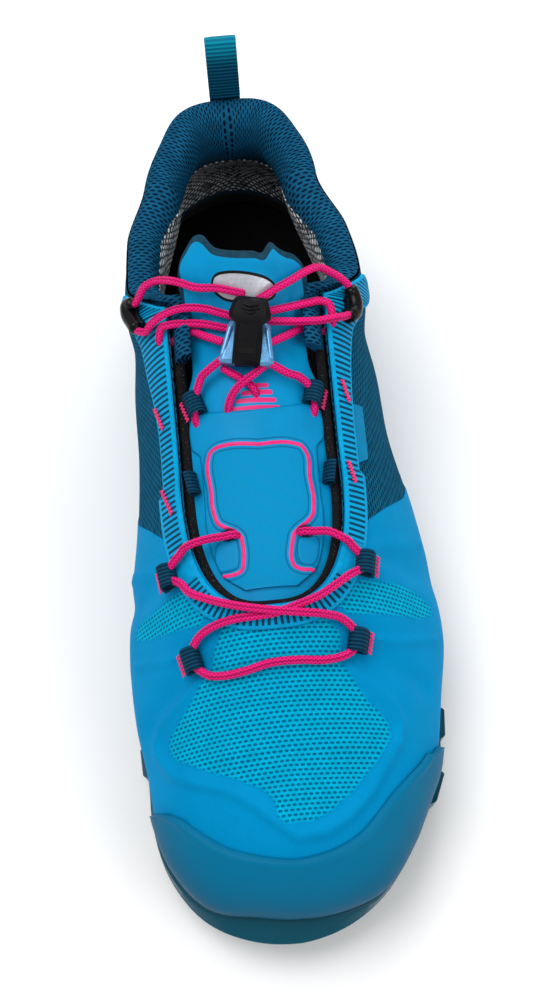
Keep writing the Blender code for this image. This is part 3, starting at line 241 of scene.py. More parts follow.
def last_grid():
    """Dense (radius, height) arrays of the closed last for both sides, over walk and level shares."""
    walks = np.linspace(0, 1, 401)
    keys = [walk_of(r[0], r[1]) for r in LAST]
    rise = np.linspace(0, 1, 161)
    grids = {}
    rim = smooth([walk_of(r[0], r[1]) for r in SOLE], [r[3] * r[6] for r in SOLE], walks)
    foot_z = rim + lift_under_rim(walks) + CLEAR
    heading = frame_of(walks)[1]
    for side, pick in ((-1, 0), (1, 1)):
        rows = []
        for r in LAST:
            radii = [r[4 + pick], r[6 + pick], r[9 + pick], r[12 + pick], r[15 + pick]]
            heights = [0., r[8], r[11], r[14], r[17]]
            rows.append([[a * r[2], b * r[3]] for a, b in zip(radii, heights)])
        body = smooth(keys, np.array(rows)[:, :4], walks)
        straight = sum(r[1] >= 90 for r in LAST)
        before_fan = np.minimum(walks, keys[straight - 1])
        edge = smooth(keys[:straight], np.array(rows)[:straight, 4:], before_fan, limit=True)
        points = np.concatenate([body, edge], axis=1)
        points[:, 0, 1] = foot_z
        chords = np.linalg.norm(np.diff(points, axis=1), axis=2)
        keyed = np.concatenate([np.zeros((len(walks), 1)), np.cumsum(chords, axis=1)], axis=1)
        out = np.empty((len(walks), len(rise), 2))
        closed = 1 - np.clip(points[:, 4, 0] / (.2 * H), 0, 1)
        for n in range(len(walks)):
            out[n] = profile(points[n], keyed[n], rise, closed[n], heading[n])
        grids[side] = out
    return walks, rise, grids


def profile(points, keys, rise, closed, heading):
    """One rib: a cubic through its levels, level with the crest's slope where it closes on top."""
    secants, slopes = slopes_of(keys, points)
    slopes[0] = secants[0] + .5 * (secants[0] - secants[1]) * .4
    crest = np.array([-1., CREST_SLOPE * max(0., math.cos(heading))])
    slopes[-1] = (1 - closed) * slopes[-1] + closed * crest
    return hermite(keys, points, slopes, rise * keys[-1])


def lift_at(station):
    keys, values = zip(*LIFT)
    return TOE_SPRING * smooth(keys, values, np.asarray(station) / LENGTH, limit=True)


def bed_at(station):
    """Height of the foot's bed at a distance from the heel's back."""
    heights = smooth([r[0] for r in BED], [r[1] * r[2] for r in BED], np.asarray(station) / LENGTH)
    return heights + lift_at(station)


def sole_at(walk):
    """Flange radii of both sides, rim height and wrap height at a walk share."""
    keys = [walk_of(r[0], r[1]) for r in SOLE]
    rows = [(r[2] * r[4], r[2] * r[5], r[3] * r[6], r[7]) for r in SOLE]
    return smooth(keys, rows, walk)


def lift_under_rim(walk):
    """Lift of the tread under the outline at a walk share, shared by everything that stands on it."""
    station, heading = frame_of(walk)
    radius = sole_at(walk)[..., :2].mean(axis=-1)
    return lift_at(station + radius * np.cos(heading) * .9)


WALKS, RISE, GRIDS = last_grid()


def place(side, walk, radius, height):
    """World points from a side, walk shares, radii from the spine and heights."""
    station, heading = frame_of(walk)
    y = LENGTH / 2 - station - radius * np.cos(heading)
    return np.stack(np.broadcast_arrays(side * radius * np.sin(heading), y, height), -1) - CENTRE


def outline_centre():
    """Middle of the sole's outline, which the model's origin stands under."""
    walks = np.linspace(0, 1, 201)
    flange = sole_at(walks)
    station, heading = frame_of(walks)
    medial = (flange[:, 0] * np.sin(heading)).max()
    lateral = (flange[:, 1] * np.sin(heading)).max()
    toe = (station + flange[:, 0] * np.cos(heading)).max()
    heel = (station + flange[:, 0] * np.cos(heading)).min()
    return np.array(((lateral - medial) / 2, LENGTH / 2 - (toe + heel) / 2, 0))


CENTRE = outline_centre()


def unit(v):
    return v / np.maximum(np.linalg.norm(v, axis=-1, keepdims=True), 1e-12)


def skin_fields():
    """Dense points, outward normals and flat and round charts of the last, for both sides."""
    out = {}
    for side in (-1, 1):
        r, z = GRIDS[side][..., 0], GRIDS[side][..., 1]
        points = place(side, WALKS[:, None], r, z)
        along = np.gradient(points, axis=0)
        along[0] = (side, 0, 0)
        along[-1] = (-side, 0, 0)
        up = np.gradient(points, axis=1)
        normals = unit(np.cross(unit(along), unit(up)) * -side)
        normals[:, -3:] = normals[:, -4:-3]
        steps = np.hypot(np.diff(r, axis=1), np.diff(z, axis=1))
        rise = np.concatenate([np.zeros((len(r), 1)), np.cumsum(steps, axis=1)], axis=1)
        station, heading = frame_of(WALKS)
        down = rise[:, -1:] - rise + r[:, -1:]
        crest = np.interp(station, station, z[:, -1])
        ridge = arc_of(np.stack([station, crest], -1))
        flat = np.stack([side * down * np.sin(heading)[:, None],
                         ridge[:, None] + down * np.cos(heading)[:, None]], -1)
        round_foot = arc_of(points[:, 60])
        ring = np.stack(np.broadcast_arrays(side * round_foot[:, None], rise), -1)
        out[side] = np.concatenate([points, normals, flat, ring], -1)
    return out


SKIN = skin_fields()


def skin(side, walk, level):
    """Last at walk and level shares: point 0:3, normal 3:6, flat chart 6:8, round chart 8:10."""
    walk, level = np.broadcast_arrays(np.clip(walk, 0, 1), np.clip(level, 0, 1))
    n, m = walk * (len(WALKS) - 1), level * (len(RISE) - 1)
    i = np.minimum(n.astype(int), len(WALKS) - 2)
    j = np.minimum(m.astype(int), len(RISE) - 2)
    u, v = (n - i)[..., None], (m - j)[..., None]
    f = SKIN[side]
    out = (f[i, j] * (1 - u) + f[i + 1, j] * u) * (1 - v) + (f[i, j + 1] * (1 - u) + f[i + 1, j + 1] * u) * v
    out[..., 3:6] = unit(out[..., 3:6])
    return out


def rib(side, walk):
    """The rib's (radius, height) curve at one walk share."""
    n = np.clip(walk, 0, 1) * (len(WALKS) - 1)
    k = min(int(n), len(WALKS) - 2)
    return GRIDS[side][k] * (1 - (n - k)) + GRIDS[side][k + 1] * (n - k)


def cut_of(side, walk):
    """Level share at which the rib meets the collar, the throat's edge or the crest."""
    station, heading = frame_of(walk)
    curve = rib(side, walk)
    if walk < HEEL_SHARE or walk > TOE_SHARE:
        return 1.
    half = throat_half(station)
    inside = np.nonzero(curve[:, 0] >= half)[0][-1]
    if inside >= len(RISE) - 1:
        return 1.
    a, b = curve[inside, 0], curve[inside + 1, 0]
    return RISE[inside] + (RISE[1] - RISE[0]) * (a - half) / max(a - b, 1e-9)


def near_edge(side, walk, along, depth):
    """Point at an arc distance from the rib's edge (below it if negative) and a depth under the surface."""
    cut = cut_of(side, walk)
    curve = rib(side, walk)
    if along >= 0:
        top = skin(side, walk, cut)
        below = skin(side, walk, cut - .02)[:3]
        return top[:3] + unit(top[:3] - below) * along - top[3:6] * depth
    keep = RISE <= cut
    radii = np.append(curve[keep, 0], np.interp(cut, RISE, curve[:, 0]))
    heights = np.append(curve[keep, 1], np.interp(cut, RISE, curve[:, 1]))
    arc = arc_of(np.stack([radii, heights], -1))
    level = np.interp(arc[-1] + along, arc, np.append(RISE[keep], cut))
    field = skin(side, walk, level)
    return field[:3] - field[3:6] * depth


def on_last(x, station, lift):
    """Point and normal at a lift over the last, above a place in plan."""
    side = 1 if x >= 0 else -1
    walk = walk_at(station)
    curve = rib(side, walk)
    top = int(np.argmax(curve[:, 0]))
    field = skin(side, walk, np.interp(-abs(x), -curve[top:, 0], RISE[top:]))
    return field[:3] + field[3:6] * lift, field[3:6]


def spot(x, station, height):
    """World point from the spine's x, the distance from the heel's back and the height."""
    return np.array((x, LENGTH / 2 - station, height)) - CENTRE


def spots(rows):
    """World points from rows of x, distance from the heel's back and height in mm."""
    return [spot(x / 1000, s / 1000, z / 1000) for x, s, z in rows]


def put(name, data):
    """New object of the scene with the given data."""
    obj = bpy.data.objects.new(name, data)
    bpy.context.scene.collection.objects.link(obj)
    return obj


class Shape:
    """Points, faces and point fields gathered for one mesh."""

    def __init__(self):
        self.points, self.faces, self.fields, self.count = [], [], {}, 0

    def grid(self, rows, wrap=False, **fields):
        """Quads between rows of points; a wrapped grid joins its last row to its first."""
        rows = np.asarray(rows, float)
        n, m = rows.shape[:2]
        index = np.arange(n * m).reshape(n, m) + self.count
        if wrap:
            index = np.vstack([index, index[:1]])
        quads = np.stack([index[:-1, :-1], index[:-1, 1:], index[1:, 1:], index[1:, :-1]], -1).reshape(-1, 4)
        self.points.append(rows.reshape(-1, 3))
        self.faces += quads.tolist()
        self.note(n * m, fields)
        return self

    def face(self, corners, **fields):
        """One flat face through a ring of points."""
        corners = np.asarray(corners, float)
        self.points.append(corners)
        self.faces.append(list(range(self.count, self.count + len(corners))))
        self.note(len(corners), fields)
        return self

    def note(self, added, fields):
        for key, values in fields.items():
            values = np.asarray(values, float)
            width = 3 if values.ndim and values.shape[-1] in (2, 3) and values.size > added else 1
            flat = np.zeros((added, width))
            flat[:, :min(width, values.shape[-1] if width == 3 else 1)] = (
                values.reshape(added, -1) if values.size >= added else values)
            self.fields.setdefault(key, []).append((self.count, flat))
        self.count += added

    def slab(self, under, over, **fields):
        """Closed sheet between two matching open grids."""
        under, over = np.asarray(under), np.asarray(over)
        self.grid(over, **fields).grid(under, **fields)

        def border(values):
            return np.concatenate([values[0], values[1:, -1], values[-1, -2::-1], values[-2::-1, 0]])
        rim = {k: np.stack([border(np.asarray(v))] * 2) for k, v in fields.items()}
        self.grid(np.stack([border(under), border(over)]), **rim)
        return self

    def tube(self, rings, **fields):
        """Closed body through closed rings, capped at both ends."""
        rings = np.asarray(rings, float)
        around = {k: np.concatenate([v, v[:, :1]], axis=1) for k, v in
                  ((k, np.asarray(v)) for k, v in fields.items())}
        self.grid(np.concatenate([rings, rings[:, :1]], axis=1), **around)
        for end in (0, -1):
            self.face(rings[end], **{k: np.asarray(v)[end] for k, v in fields.items()})
        return self

    def object(self, name, look, slot, nodes=(), sharp=50):
        mesh = bpy.data.meshes.new(name)
        mesh.from_pydata(np.concatenate(self.points).tolist(), [], self.faces)
        for key, pieces in self.fields.items():
            width = pieces[0][1].shape[1]
            kind = "FLOAT_VECTOR" if width == 3 else "FLOAT"
            values = np.zeros((self.count, width))
            for start, flat in pieces:
                values[start:start + len(flat)] = flat
            layer = mesh.attributes.new(key, kind, "POINT")
            layer.data.foreach_set("vector" if width == 3 else "value", values.ravel())
        bm = bmesh.new()
        bm.from_mesh(mesh)
        bmesh.ops.remove_doubles(bm, verts=bm.verts, dist=2e-6)
        bmesh.ops.dissolve_degenerate(bm, edges=bm.edges, dist=1e-6)
        bmesh.ops.recalc_face_normals(bm, faces=bm.faces)
        bm.to_mesh(mesh)
        bm.free()
        mesh.shade_smooth()
        mesh.set_sharp_from_angle(angle=math.radians(sharp))
        obj = put(name, mesh)
        mesh.materials.append(look)
        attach(obj, "root")
        if nodes:
            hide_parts(*nodes)
        return obj


def segment_distance(points, a, b):
    """Distances from points to the segment from a to b, and the share of its length at the nearest place."""
    ab = b - a
    t = np.clip(((points - a) @ ab) / max(float(ab @ ab), 1e-12), 0, 1)
    return np.linalg.norm(points - a - t[..., None] * ab, axis=-1), t


def line_distance(points, line):
    """Distance from chart points to a polyline."""
    line = np.asarray(line, float)
    return np.min([segment_distance(points, a, b)[0] for a, b in zip(line[:-1], line[1:])], axis=0)


def inside_distance(points, outline):
    """Distance to a closed outline, positive inside."""
    outline = np.asarray(outline, float)
    far = line_distance(points, np.vstack([outline, outline[:1]]))
    x, y = points[..., 0], points[..., 1]
    odd = np.zeros(x.shape, bool)
    for (ax, ay), (bx, by) in zip(outline, np.roll(outline, -1, axis=0)):
        crosses = (ay > y) != (by > y)
        with np.errstate(divide="ignore", invalid="ignore"):
            odd ^= crosses & (x < (bx - ax) * (y - ay) / (by - ay + 1e-15) + ax)
    return np.where(odd, far, -far)


def rounded(outline):
    """Corner-cut copy of a closed outline."""
    line = np.asarray(outline, float)
    for _ in range(2):
        ahead = np.roll(line, -1, axis=0)
        line = np.stack([line * .75 + ahead * .25, line * .25 + ahead * .75], 1).reshape(-1, line.shape[1])
    return line


def rise_over(values, low, high):
    """Smooth step from 0 at low to 1 at high."""
    t = np.clip((values - low) / (high - low), 0, 1)
    return t * t * (3 - 2 * t)


def route(points, spacing):
    """Smooth path through points, resampled at an even spacing."""
    points = np.asarray(points, float)
    keys = arc_of(points)
    fine = smooth(keys, points, np.linspace(0, keys[-1], 20 * len(points)))
    arc = arc_of(fine)
    at = np.linspace(0, arc[-1], max(2, int(arc[-1] / spacing) + 1))
    return np.stack([np.interp(at, arc, fine[:, k]) for k in range(3)], -1), at


def frames(path):
    """Tangents and two turning-free crosswise directions along a path."""
    ahead = unit(np.gradient(path, axis=0))
    side = np.zeros_like(path)
    guess = np.array((0, 0, 1.)) if abs(ahead[0][2]) < .9 else np.array((1., 0, 0))
    for k, a in enumerate(ahead):
        guess = unit(guess - a * (guess @ a))
        side[k] = guess
    return ahead, side, np.cross(ahead, side)


def cord_shape(shape, points, radius, spacing=.0005, corners=14):
    """Round cord along a route, with rounded ends; fields: run and turn, in metres."""
    path, arc = route(points, spacing)
    ahead, up, over = frames(path)
    angle = np.linspace(0, 2 * math.pi, corners, endpoint=False)
    end = np.minimum(arc, arc[-1] - arc)
    swell = radius * np.sqrt(np.clip(1 - (1 - np.clip(end / (.6 * radius), .15, 1)) ** 2, 0, 1))
    ring = up[:, None] * np.cos(angle)[:, None] + over[:, None] * np.sin(angle)[:, None]
    rings = path[:, None] + ring * swell[:, None, None]
    turn = np.broadcast_to(angle * radius, rings.shape[:2])
    run = np.broadcast_to(arc[:, None], rings.shape[:2])
    shape.tube(rings, run=run, turn=turn)
    return path


class Look:
    """A node material, with short calls for what the finishes share."""

    def __init__(self, name, **sockets):
        self.mat = bpy.data.materials.new(name)
        self.mat.use_nodes = True
        self.tree = self.mat.node_tree
        self.shader = self.tree.nodes["Principled BSDF"]
        self.set(**sockets)

    def set(self, **sockets):
        for key, value in sockets.items():
            self.plug(self.shader.inputs[key.replace("_", " ")], value)
        return self

    def plug(self, socket, value):
        if isinstance(value, bpy.types.NodeSocket):
            self.tree.links.new(value, socket)
        elif isinstance(value, tuple) and len(value) == 3 and socket.type == "RGBA":
            socket.default_value = (*value, 1)
        elif value is not None:
            socket.default_value = value

    def node(self, kind, *inputs, out=0, **props):
        node = self.tree.nodes.new("ShaderNode" + kind)
        for key, value in props.items():
            setattr(node, key, value)
        for socket, value in zip(node.inputs, inputs):
            self.plug(socket, value)
        return node.outputs[out]

    def op(self, operation, *inputs):
        return self.node("Math", *inputs, operation=operation)

    def field(self, name):
        return self.node("Attribute", attribute_name=name, out=2)

    def vector(self, name):
        return self.node("Attribute", attribute_name=name, out=1)

    def split(self, vector):
        node = self.tree.nodes.new("ShaderNodeSeparateXYZ")
        self.plug(node.inputs[0], vector)
        return node.outputs

    def place(self):
        return self.node("TexCoord", out=3)

    def noise(self, scale, detail=2., vector=None):
        node = self.tree.nodes.new("ShaderNodeTexNoise")
        self.plug(node.inputs["Vector"], vector or self.place())
        node.inputs["Scale"].default_value = scale
        node.inputs["Detail"].default_value = detail
        return node.outputs[0]

    def step(self, value, low, high):
        """Smooth step from 0 at low to 1 at high."""
        return self.node("MapRange", value, low, high, 0., 1., interpolation_type="SMOOTHSTEP")

    def mix(self, share, a, b):
        node = self.tree.nodes.new("ShaderNodeMix")
        node.data_type = "RGBA"
        for socket, value in zip((node.inputs[0], node.inputs[6], node.inputs[7]), (share, a, b)):
            self.plug(socket, value)
        return node.outputs[2]

    def blend(self, share, a, b):
        """Number between a and b."""
        return self.node("Mix", share, None, a, b)

    def vary(self, colour, amount, scale, detail=3.):
        """The colour, darker and lighter by an amount in patches of 1/scale metres."""
        low = tuple(c * (1 - amount) for c in colour)
        high = tuple(min(1, c * (1 + amount)) for c in colour)
        return self.mix(self.step(self.noise(scale, detail), .3, .7), low, high)

    def bump(self, height, depth, strength=1.):
        normal = self.node("Bump", strength, depth, None, height)
        self.plug(self.shader.inputs["Normal"], normal)
        return self

    def dashes(self, u, v, cell, oval, low, high):
        """Step from low to high over the distance from the middle of an oval, 1 at its edge.

        One oval lies in each cell, and each row of cells is shifted by half a cell.
        """
        row = self.op("DIVIDE", v, cell[1])
        shift = self.op("MULTIPLY", self.op("FLOOR", row), .5)
        column = self.op("ADD", self.op("DIVIDE", u, cell[0]), shift)
        a, b = [self.op("DIVIDE", self.op("SUBTRACT", self.op("FRACT", value), .5), size)
                for value, size in zip((column, row), oval)]
        far = self.op("SQRT", self.op("ADD", self.op("MULTIPLY", a, a), self.op("MULTIPLY", b, b)))
        return self.step(far, low, high)

    def wave(self, value, pitch):
        """Rounded ribs from 0 to 1 at a pitch."""
        turn = self.op("MULTIPLY", value, 2 * math.pi / pitch)
        return self.op("MULTIPLY_ADD", self.op("SINE", turn), .5, .5)

    def weave(self, pitch):
        """Threads crossing at right angles, from 0 to 1."""
        place = self.split(self.place())
        return self.op("MULTIPLY", self.wave(place[0], pitch), self.wave(place[1], pitch))


# Colours, linear
FILM_BLUE = (0., .235, .50)
MESH_LIGHT = (0., .37, .60)
DARK_BLUE = (.005, .095, .18)
DARK_DEEP = (.001, .020, .045)
# Rubber teal and its darker copy, which paints shade on the rubber's lower parts
TEAL = (0., .14, .22)
TEAL_PAINTED_SHADE = (0., .062, .098)
LOOP_BLUE = (.002, .050, .105)
BLACK = (.006, .006, .008)


def upper_look():
    """Welded film over mesh at the front, dark knit behind, by signed distances in metres."""
    look = Look("upper film and mesh", Specular_IOR_Level=.02)
    window, film = look.field("window"), look.field("film")
    flat, ring = look.split(look.vector("flat")), look.split(look.vector("ring"))
    holes = look.dashes(flat[0], flat[1], (.0019, .0015), (.36, .27), .75, 1.2)
    shown = look.step(window, -.0002, .0014)
    in_window = look.step(window, -.0005, .0003)
    grain = look.noise(2600, 2)
    tint = look.vary(FILM_BLUE, .04, 60)
    cover = look.mix(look.op("MULTIPLY", look.step(grain, .40, .70), .34), tint, (0., .31, .62))
    mesh = look.mix(holes, (0., .12, .24), look.vary(MESH_LIGHT, .06, 240))
    front = look.mix(look.op("MULTIPLY", shown, in_window), cover, mesh)
    yarn = look.dashes(ring[0], ring[1], (.0026, .0012), (.40, .26), .75, 1.15)
    knit = look.mix(yarn, DARK_DEEP, look.vary(DARK_BLUE, .12, 300))
    is_film = look.step(film, -.0002, .0002)
    outside = look.mix(is_film, knit, front)
    look.set(Base_Color=look.mix(look.field("wall"), outside, BLACK))
    front_height = look.blend(in_window, look.op("MULTIPLY", grain, .25), holes)
    height = look.blend(is_film, yarn, front_height)
    look.set(Roughness=look.blend(is_film, .85, look.blend(in_window, .58, .7)))
    return look.bump(height, .00022, .8).mat


def knit_look():
    """Collar's knit: dark dashes in a paler yarn."""
    look = Look("collar knit", Roughness=.9, Specular_IOR_Level=.05)
    ring = look.split(look.vector("ring"))
    yarn = look.dashes(ring[1], ring[0], (.0030, .00125), (.38, .26), .7, 1.2)
    fuzz = look.noise(5200, 2)
    base = look.mix(yarn, (.0005, .008, .020), look.vary((.005, .082, .175), .15, 260))
    look.set(Base_Color=base)
    return look.bump(look.op("MULTIPLY_ADD", fuzz, .4, yarn), .00028, .8).mat


def tape_look():
    """Ribbed lace band: raised bright ribs over dark gaps, plain along both edges."""
    look = Look("ribbed band", Roughness=.62, Specular_IOR_Level=.08)
    run, rim = look.field("run"), look.field("rim")
    ribs = look.wave(run, .0019)
    plain = look.op("MAXIMUM", look.step(rim, .0013, .0009), look.field("plain"))
    raised = look.op("MAXIMUM", look.step(ribs, .32, .52), plain)
    look.set(Base_Color=look.mix(raised, (.0, .050, .11), look.vary((0., .32, .62), .08, 420)))
    stitch = look.op("MULTIPLY", look.step(look.wave(run, .0019), .35, .6), look.step(
        look.op("ABSOLUTE", look.op("SUBTRACT", rim, .0006)), .0003, .0001))
    height = look.op("SUBTRACT", look.op("MULTIPLY_ADD", look.noise(4200, 2), .12, raised),
                     look.op("MULTIPLY", stitch, .35))
    return look.bump(height, .0003, .9).mat


def rubber_look(name, top, low, gloss, coat):
    """Moulded rubber with painted shade, darker towards the bottom and paler towards the top, with fine dust
    in its grain.
    """
    look = Look(name, Roughness=gloss, Coat_Weight=coat, Coat_Roughness=.22, Specular_IOR_Level=.06)
    # painted shade: from the top colour down to the low one as the height drops
    share = look.step(look.split(look.place())[2], .019, .046)
    patches = look.noise(90, 3)
    tint = look.mix(look.op("MULTIPLY_ADD", patches, .12, look.op("MULTIPLY", share, .9)), low, top)
    look.set(Base_Color=tint)
    look.set(Roughness=look.op("MULTIPLY_ADD", look.noise(700, 3), .22, gloss - .1))
    return look.bump(look.noise(3200, 3), .00006, .6).mat


def foam_look():
    look = Look("midsole foam", Roughness=.7)
    look.set(Base_Color=look.mix(look.field("lined"), look.vary((0., .13, .25), .12, 220), BLACK))
    return look.bump(look.noise(2400, 3), .00012, .6).mat


def black_cloth_look():
    look = Look("footbed cloth", Roughness=.95, Specular_IOR_Level=.05)
    weave = look.weave(.0011)
    look.set(Base_Color=look.mix(weave, (.002, .002, .003), (.009, .009, .010)))
    return look.bump(weave, .00015, .6).mat


def heel_lining_look():
    """Slubbed lining: pale dashes on black, in rows round the heel."""
    look = Look("heel lining", Roughness=.85)
    ring = look.split(look.vector("ring"))
    slope = look.op("MULTIPLY_ADD", look.op("ABSOLUTE", ring[0]), .35, ring[1])
    dash = look.dashes(ring[0], slope, (.0022, .0014), (.42, .34), 1.15, .7)
    worn = look.op("MULTIPLY", dash, look.step(look.noise(420, 3), .30, .58))
    look.set(Base_Color=look.mix(worn, (.020, .026, .030), (.80, .84, .86)))
    return look.bump(dash, .0003, .8).mat


def tongue_look():
    """Bright coated cloth with a dark grey-blue rim, by the signed distance of their boundary."""
    look = Look("tongue cloth", Specular_IOR_Level=.10)
    bright = look.step(look.field("bright"), -.0002, .0002)
    stripe = look.step(look.field("stripe"), -.0001, .0001)
    patch = look.step(look.field("patch"), -.0001, .0001)
    outline = look.step(look.field("patch"), -.0008, -.0006)
    rim = look.vary((.010, .050, .085), .2, 500)
    cloth = look.vary((0., .275, .57), .05, 120)
    colour = look.mix(bright, rim, cloth)
    colour = look.mix(stripe, colour, (.78, .03, .20))
    colour = look.mix(outline, colour, BLACK)
    colour = look.mix(patch, colour, look.vary((.50, .53, .58), .08, 900))
    look.set(Base_Color=colour)
    look.set(Metallic=look.op("MULTIPLY", patch, .35))
    shine = look.op("MAXIMUM", stripe, patch)
    look.set(Roughness=look.blend(shine, look.blend(bright, .85, .48), .28))
    weave = look.weave(.0007)
    raised = look.op("MULTIPLY", look.op("ADD", patch, stripe), .8)
    height = look.op("ADD", look.op("MULTIPLY", weave, .25), raised)
    return look.bump(height, .00012, .7).mat


def flap_look():
    """Smooth cover with a woven field, a glossy pink outline and a fine groove beside it."""
    look = Look("tongue cover", Specular_IOR_Level=.10)
    pink = look.step(look.field("pink"), .00065, .00050)
    groove = look.step(look.field("groove"), .00032, .00012)
    woven = look.step(look.field("woven"), -.0003, .0003)
    hole = look.step(look.field("hole"), -.0002, .0002)
    place = look.split(look.place())
    twill = look.wave(look.op("ADD", place[0], look.op("MULTIPLY", place[1], 1.6)), .0009)
    fine = look.wave(place[0], .0006)
    cloth = look.op("MULTIPLY", twill, fine)
    field = look.mix(cloth, (0., .22, .45), (0., .32, .62))
    colour = look.mix(woven, look.vary((0., .245, .51), .04, 140), field)
    colour = look.mix(groove, colour, (0., .13, .29))
    colour = look.mix(pink, colour, look.vary((.80, .03, .20), .12, 500))
    look.set(Base_Color=look.mix(hole, colour, (.0, .02, .04)))
    look.set(Roughness=look.blend(pink, look.blend(woven, .45, .75), .22))
    height = look.op("ADD", look.op("MULTIPLY", cloth, look.op("MULTIPLY", woven, .35)), pink)
    height = look.op("SUBTRACT", height, groove)
    return look.bump(height, .00010, .6).mat


def webbing_look():
    """Woven tape of the lace loops, ribbed along its length."""
    look = Look("loop webbing", Roughness=.75, Specular_IOR_Level=.08)
    ribs = look.wave(look.field("turn"), .0012)
    yarn = look.wave(look.field("run"), .0006)
    dark = tuple(c * .35 for c in LOOP_BLUE)
    look.set(Base_Color=look.mix(look.step(ribs, .15, .7), dark, look.vary(LOOP_BLUE, .15, 700)))
    return look.bump(look.op("MULTIPLY_ADD", yarn, .2, ribs), .00025, .9).mat


def pull_look():
    """Grosgrain of the heel loop, with painted light: bright at its top and deep teal below it."""
    look = Look("heel loop webbing", Roughness=.6, Specular_IOR_Level=.08)
    ribs = look.wave(look.field("run"), .0014)
    # painted light: the loop's top, where the light falls, is brighter than its lower part
    high = look.step(look.split(look.place())[2], .108, .118)
    colour = look.mix(high, (0., .075, .145), (0., .245, .36))
    dark = look.mix(high, (0., .030, .070), (0., .14, .24))
    look.set(Base_Color=look.mix(look.step(ribs, .2, .7), dark, colour))
    return look.bump(ribs, .0003, .9).mat


def lace_look():
    """Braided round cord: two families of yarns crossing round it."""
    look = Look("braided lace", Roughness=.55, Specular_IOR_Level=.15)
    run, turn = look.field("run"), look.field("turn")
    left, right = look.op("ADD", run, turn), look.op("SUBTRACT", run, turn)
    pitch = LACE * math.pi / 6
    braid = look.op("MAXIMUM", look.wave(left, pitch), look.wave(right, pitch))
    look.set(Base_Color=look.mix(look.step(braid, .35, .95), (.46, .0, .085), (.90, .012, .22)))
    return look.bump(look.op("MULTIPLY_ADD", look.noise(5200, 2), .2, braid), .00022, .9).mat


def plastic_look(name, colour, roughness, coat=0., metallic=0., shine=.25):
    look = Look(name, Roughness=roughness, Coat_Weight=coat, Coat_Roughness=.12, Metallic=metallic,
                Specular_IOR_Level=shine)
    look.set(Base_Color=look.vary(colour, .12, 400))
    look.set(Roughness=look.op("MULTIPLY_ADD", look.noise(900, 3), .16, roughness - .06))
    return look.bump(look.noise(2600, 3), .00004, .6).mat


def thread_look():
    look = Look("pink thread", Roughness=.6)
    look.set(Base_Color=look.vary((.80, .02, .18), .2, 1500))
    return look.bump(look.wave(look.field("run"), .0005), .00012, .8).mat


def fuzzy_look():
    """Napped black edge with pale flecks."""
    look = Look("fuzzy edge", Roughness=.95, Specular_IOR_Level=.2)
    flecks = look.step(look.noise(2300, 2), .64, .74)
    look.set(Base_Color=look.mix(flecks, (.006, .006, .007), (.11, .12, .13)))
    return look.bump(look.noise(2600, 3), .0005, 1.).mat


# Shares of the flange radius at the points of the sole's flat parts
INNER = (0, .35, .7)
# Softened edges and fillets of the sole, and how far inside the flange the flat tread ends
SOFT = 0.0006
FILLET = 0.0012
TREAD_IN = 0.0030
# Steps of the midsole's side wall: share of its height and how far they stand out
WALL_STEPS = ((.04, .0), (.12, .0005), (.30, .0008), (.34, .0), (.36, -.0006), (.50, -.0006), (.52, .0),
              (.56, .0006), (.70, .0006), (.84, .0003))


def tread_z(walk, radius):
    station, heading = frame_of(walk)
    return LUG_DEPTH + float(lift_at(station + radius * math.cos(heading)))


def ledge_of(side, walk):
    """Outer radius of the midsole's rim, which the toe cap stands on too."""
    return rib(side, walk)[0, 0] + CAP_WALL + SOFT


def wrap_of(side, walk):
    """Flange radius, height of its wrapped edge and how far the toe's bumper leans in over it."""
    row = sole_at(walk)
    flange = row[1] if side > 0 else row[0]
    share = np.clip((row[3] - WRAP) / (BUMPER - WRAP), 0, 1)
    reach = flange - SOFT - (ledge_of(side, walk) + CLEAR + WRAP_WALL)
    return flange, row[3], max(0., share * reach)


def outsole_section(side, walk):
    """Tread sheet with its edge wrapped up round the midsole."""
    flange, wrap, lean = wrap_of(side, walk)
    base = tread_z(walk, flange - TREAD_IN)
    lip = flange - SOFT - lean
    inner = lip - WRAP_WALL
    points = [(flange * a, tread_z(walk, flange * a)) for a in INNER]
    points += [(flange - TREAD_IN, base), (flange - SOFT, base + .0014), (flange, base + .0032)]
    points += [(flange - .35 * lean - .0002, base + .6 * wrap), (lip + .0003, base + wrap - .0005)]
    points += [(lip - .0004, base + wrap), (inner + .0003, base + wrap), (inner, base + wrap - SOFT)]
    floor = min(inner - SOFT, flange - TREAD_IN - WRAP_WALL)
    points += [(inner, base + TREAD + FILLET), (floor, base + TREAD)]
    points += [(flange * a, tread_z(walk, flange * a) + TREAD) for a in INNER[::-1]]
    return points


def cup_of(side, walk):
    """Radius of the rim's cup, which the insole lies in."""
    return rib(side, walk)[0, 0] - WALL - FILLET


def midsole_section(side, walk):
    """Foam wedge: flat on the tread, a ribbed side wall, a rim and the sunk bed of the foot."""
    flange, wrap, lean = wrap_of(side, walk)
    rim = sole_at(walk)[2] + float(lift_under_rim(walk))
    inner = flange - SOFT - lean - WRAP_WALL - CLEAR
    base = tread_z(walk, flange - TREAD_IN)
    lip = base + wrap + CLEAR
    ledge = ledge_of(side, walk)
    start = min(inner - SOFT, flange - TREAD_IN - WRAP_WALL - CLEAR)
    points = [(flange * a, tread_z(walk, flange * a) + TREAD + CLEAR) for a in INNER]
    points += [(start, base + TREAD + 2 * CLEAR), (inner, base + TREAD + FILLET + CLEAR), (inner, lip)]
    side_wall = inner + (WRAP_WALL - .0002 if wrap <= WRAP * 1.02 else -.0001)
    height = rim - lip
    for share, bulge in WALL_STEPS:
        points.append((side_wall + (ledge - side_wall) * share + bulge, lip + height * share))
    points += [(ledge, rim - SOFT), (ledge - .0002, rim - .0002), (ledge - SOFT, rim)]
    cup = cup_of(side, walk)
    points += [(cup, rim)]
    points += [(a, bed_z(walk, a)) for a in (cup - FILLET, cup * .6, cup * .3, 0)]
    return points


# Number of the midsole section's point where its outside ends
RIM_POINT = 19


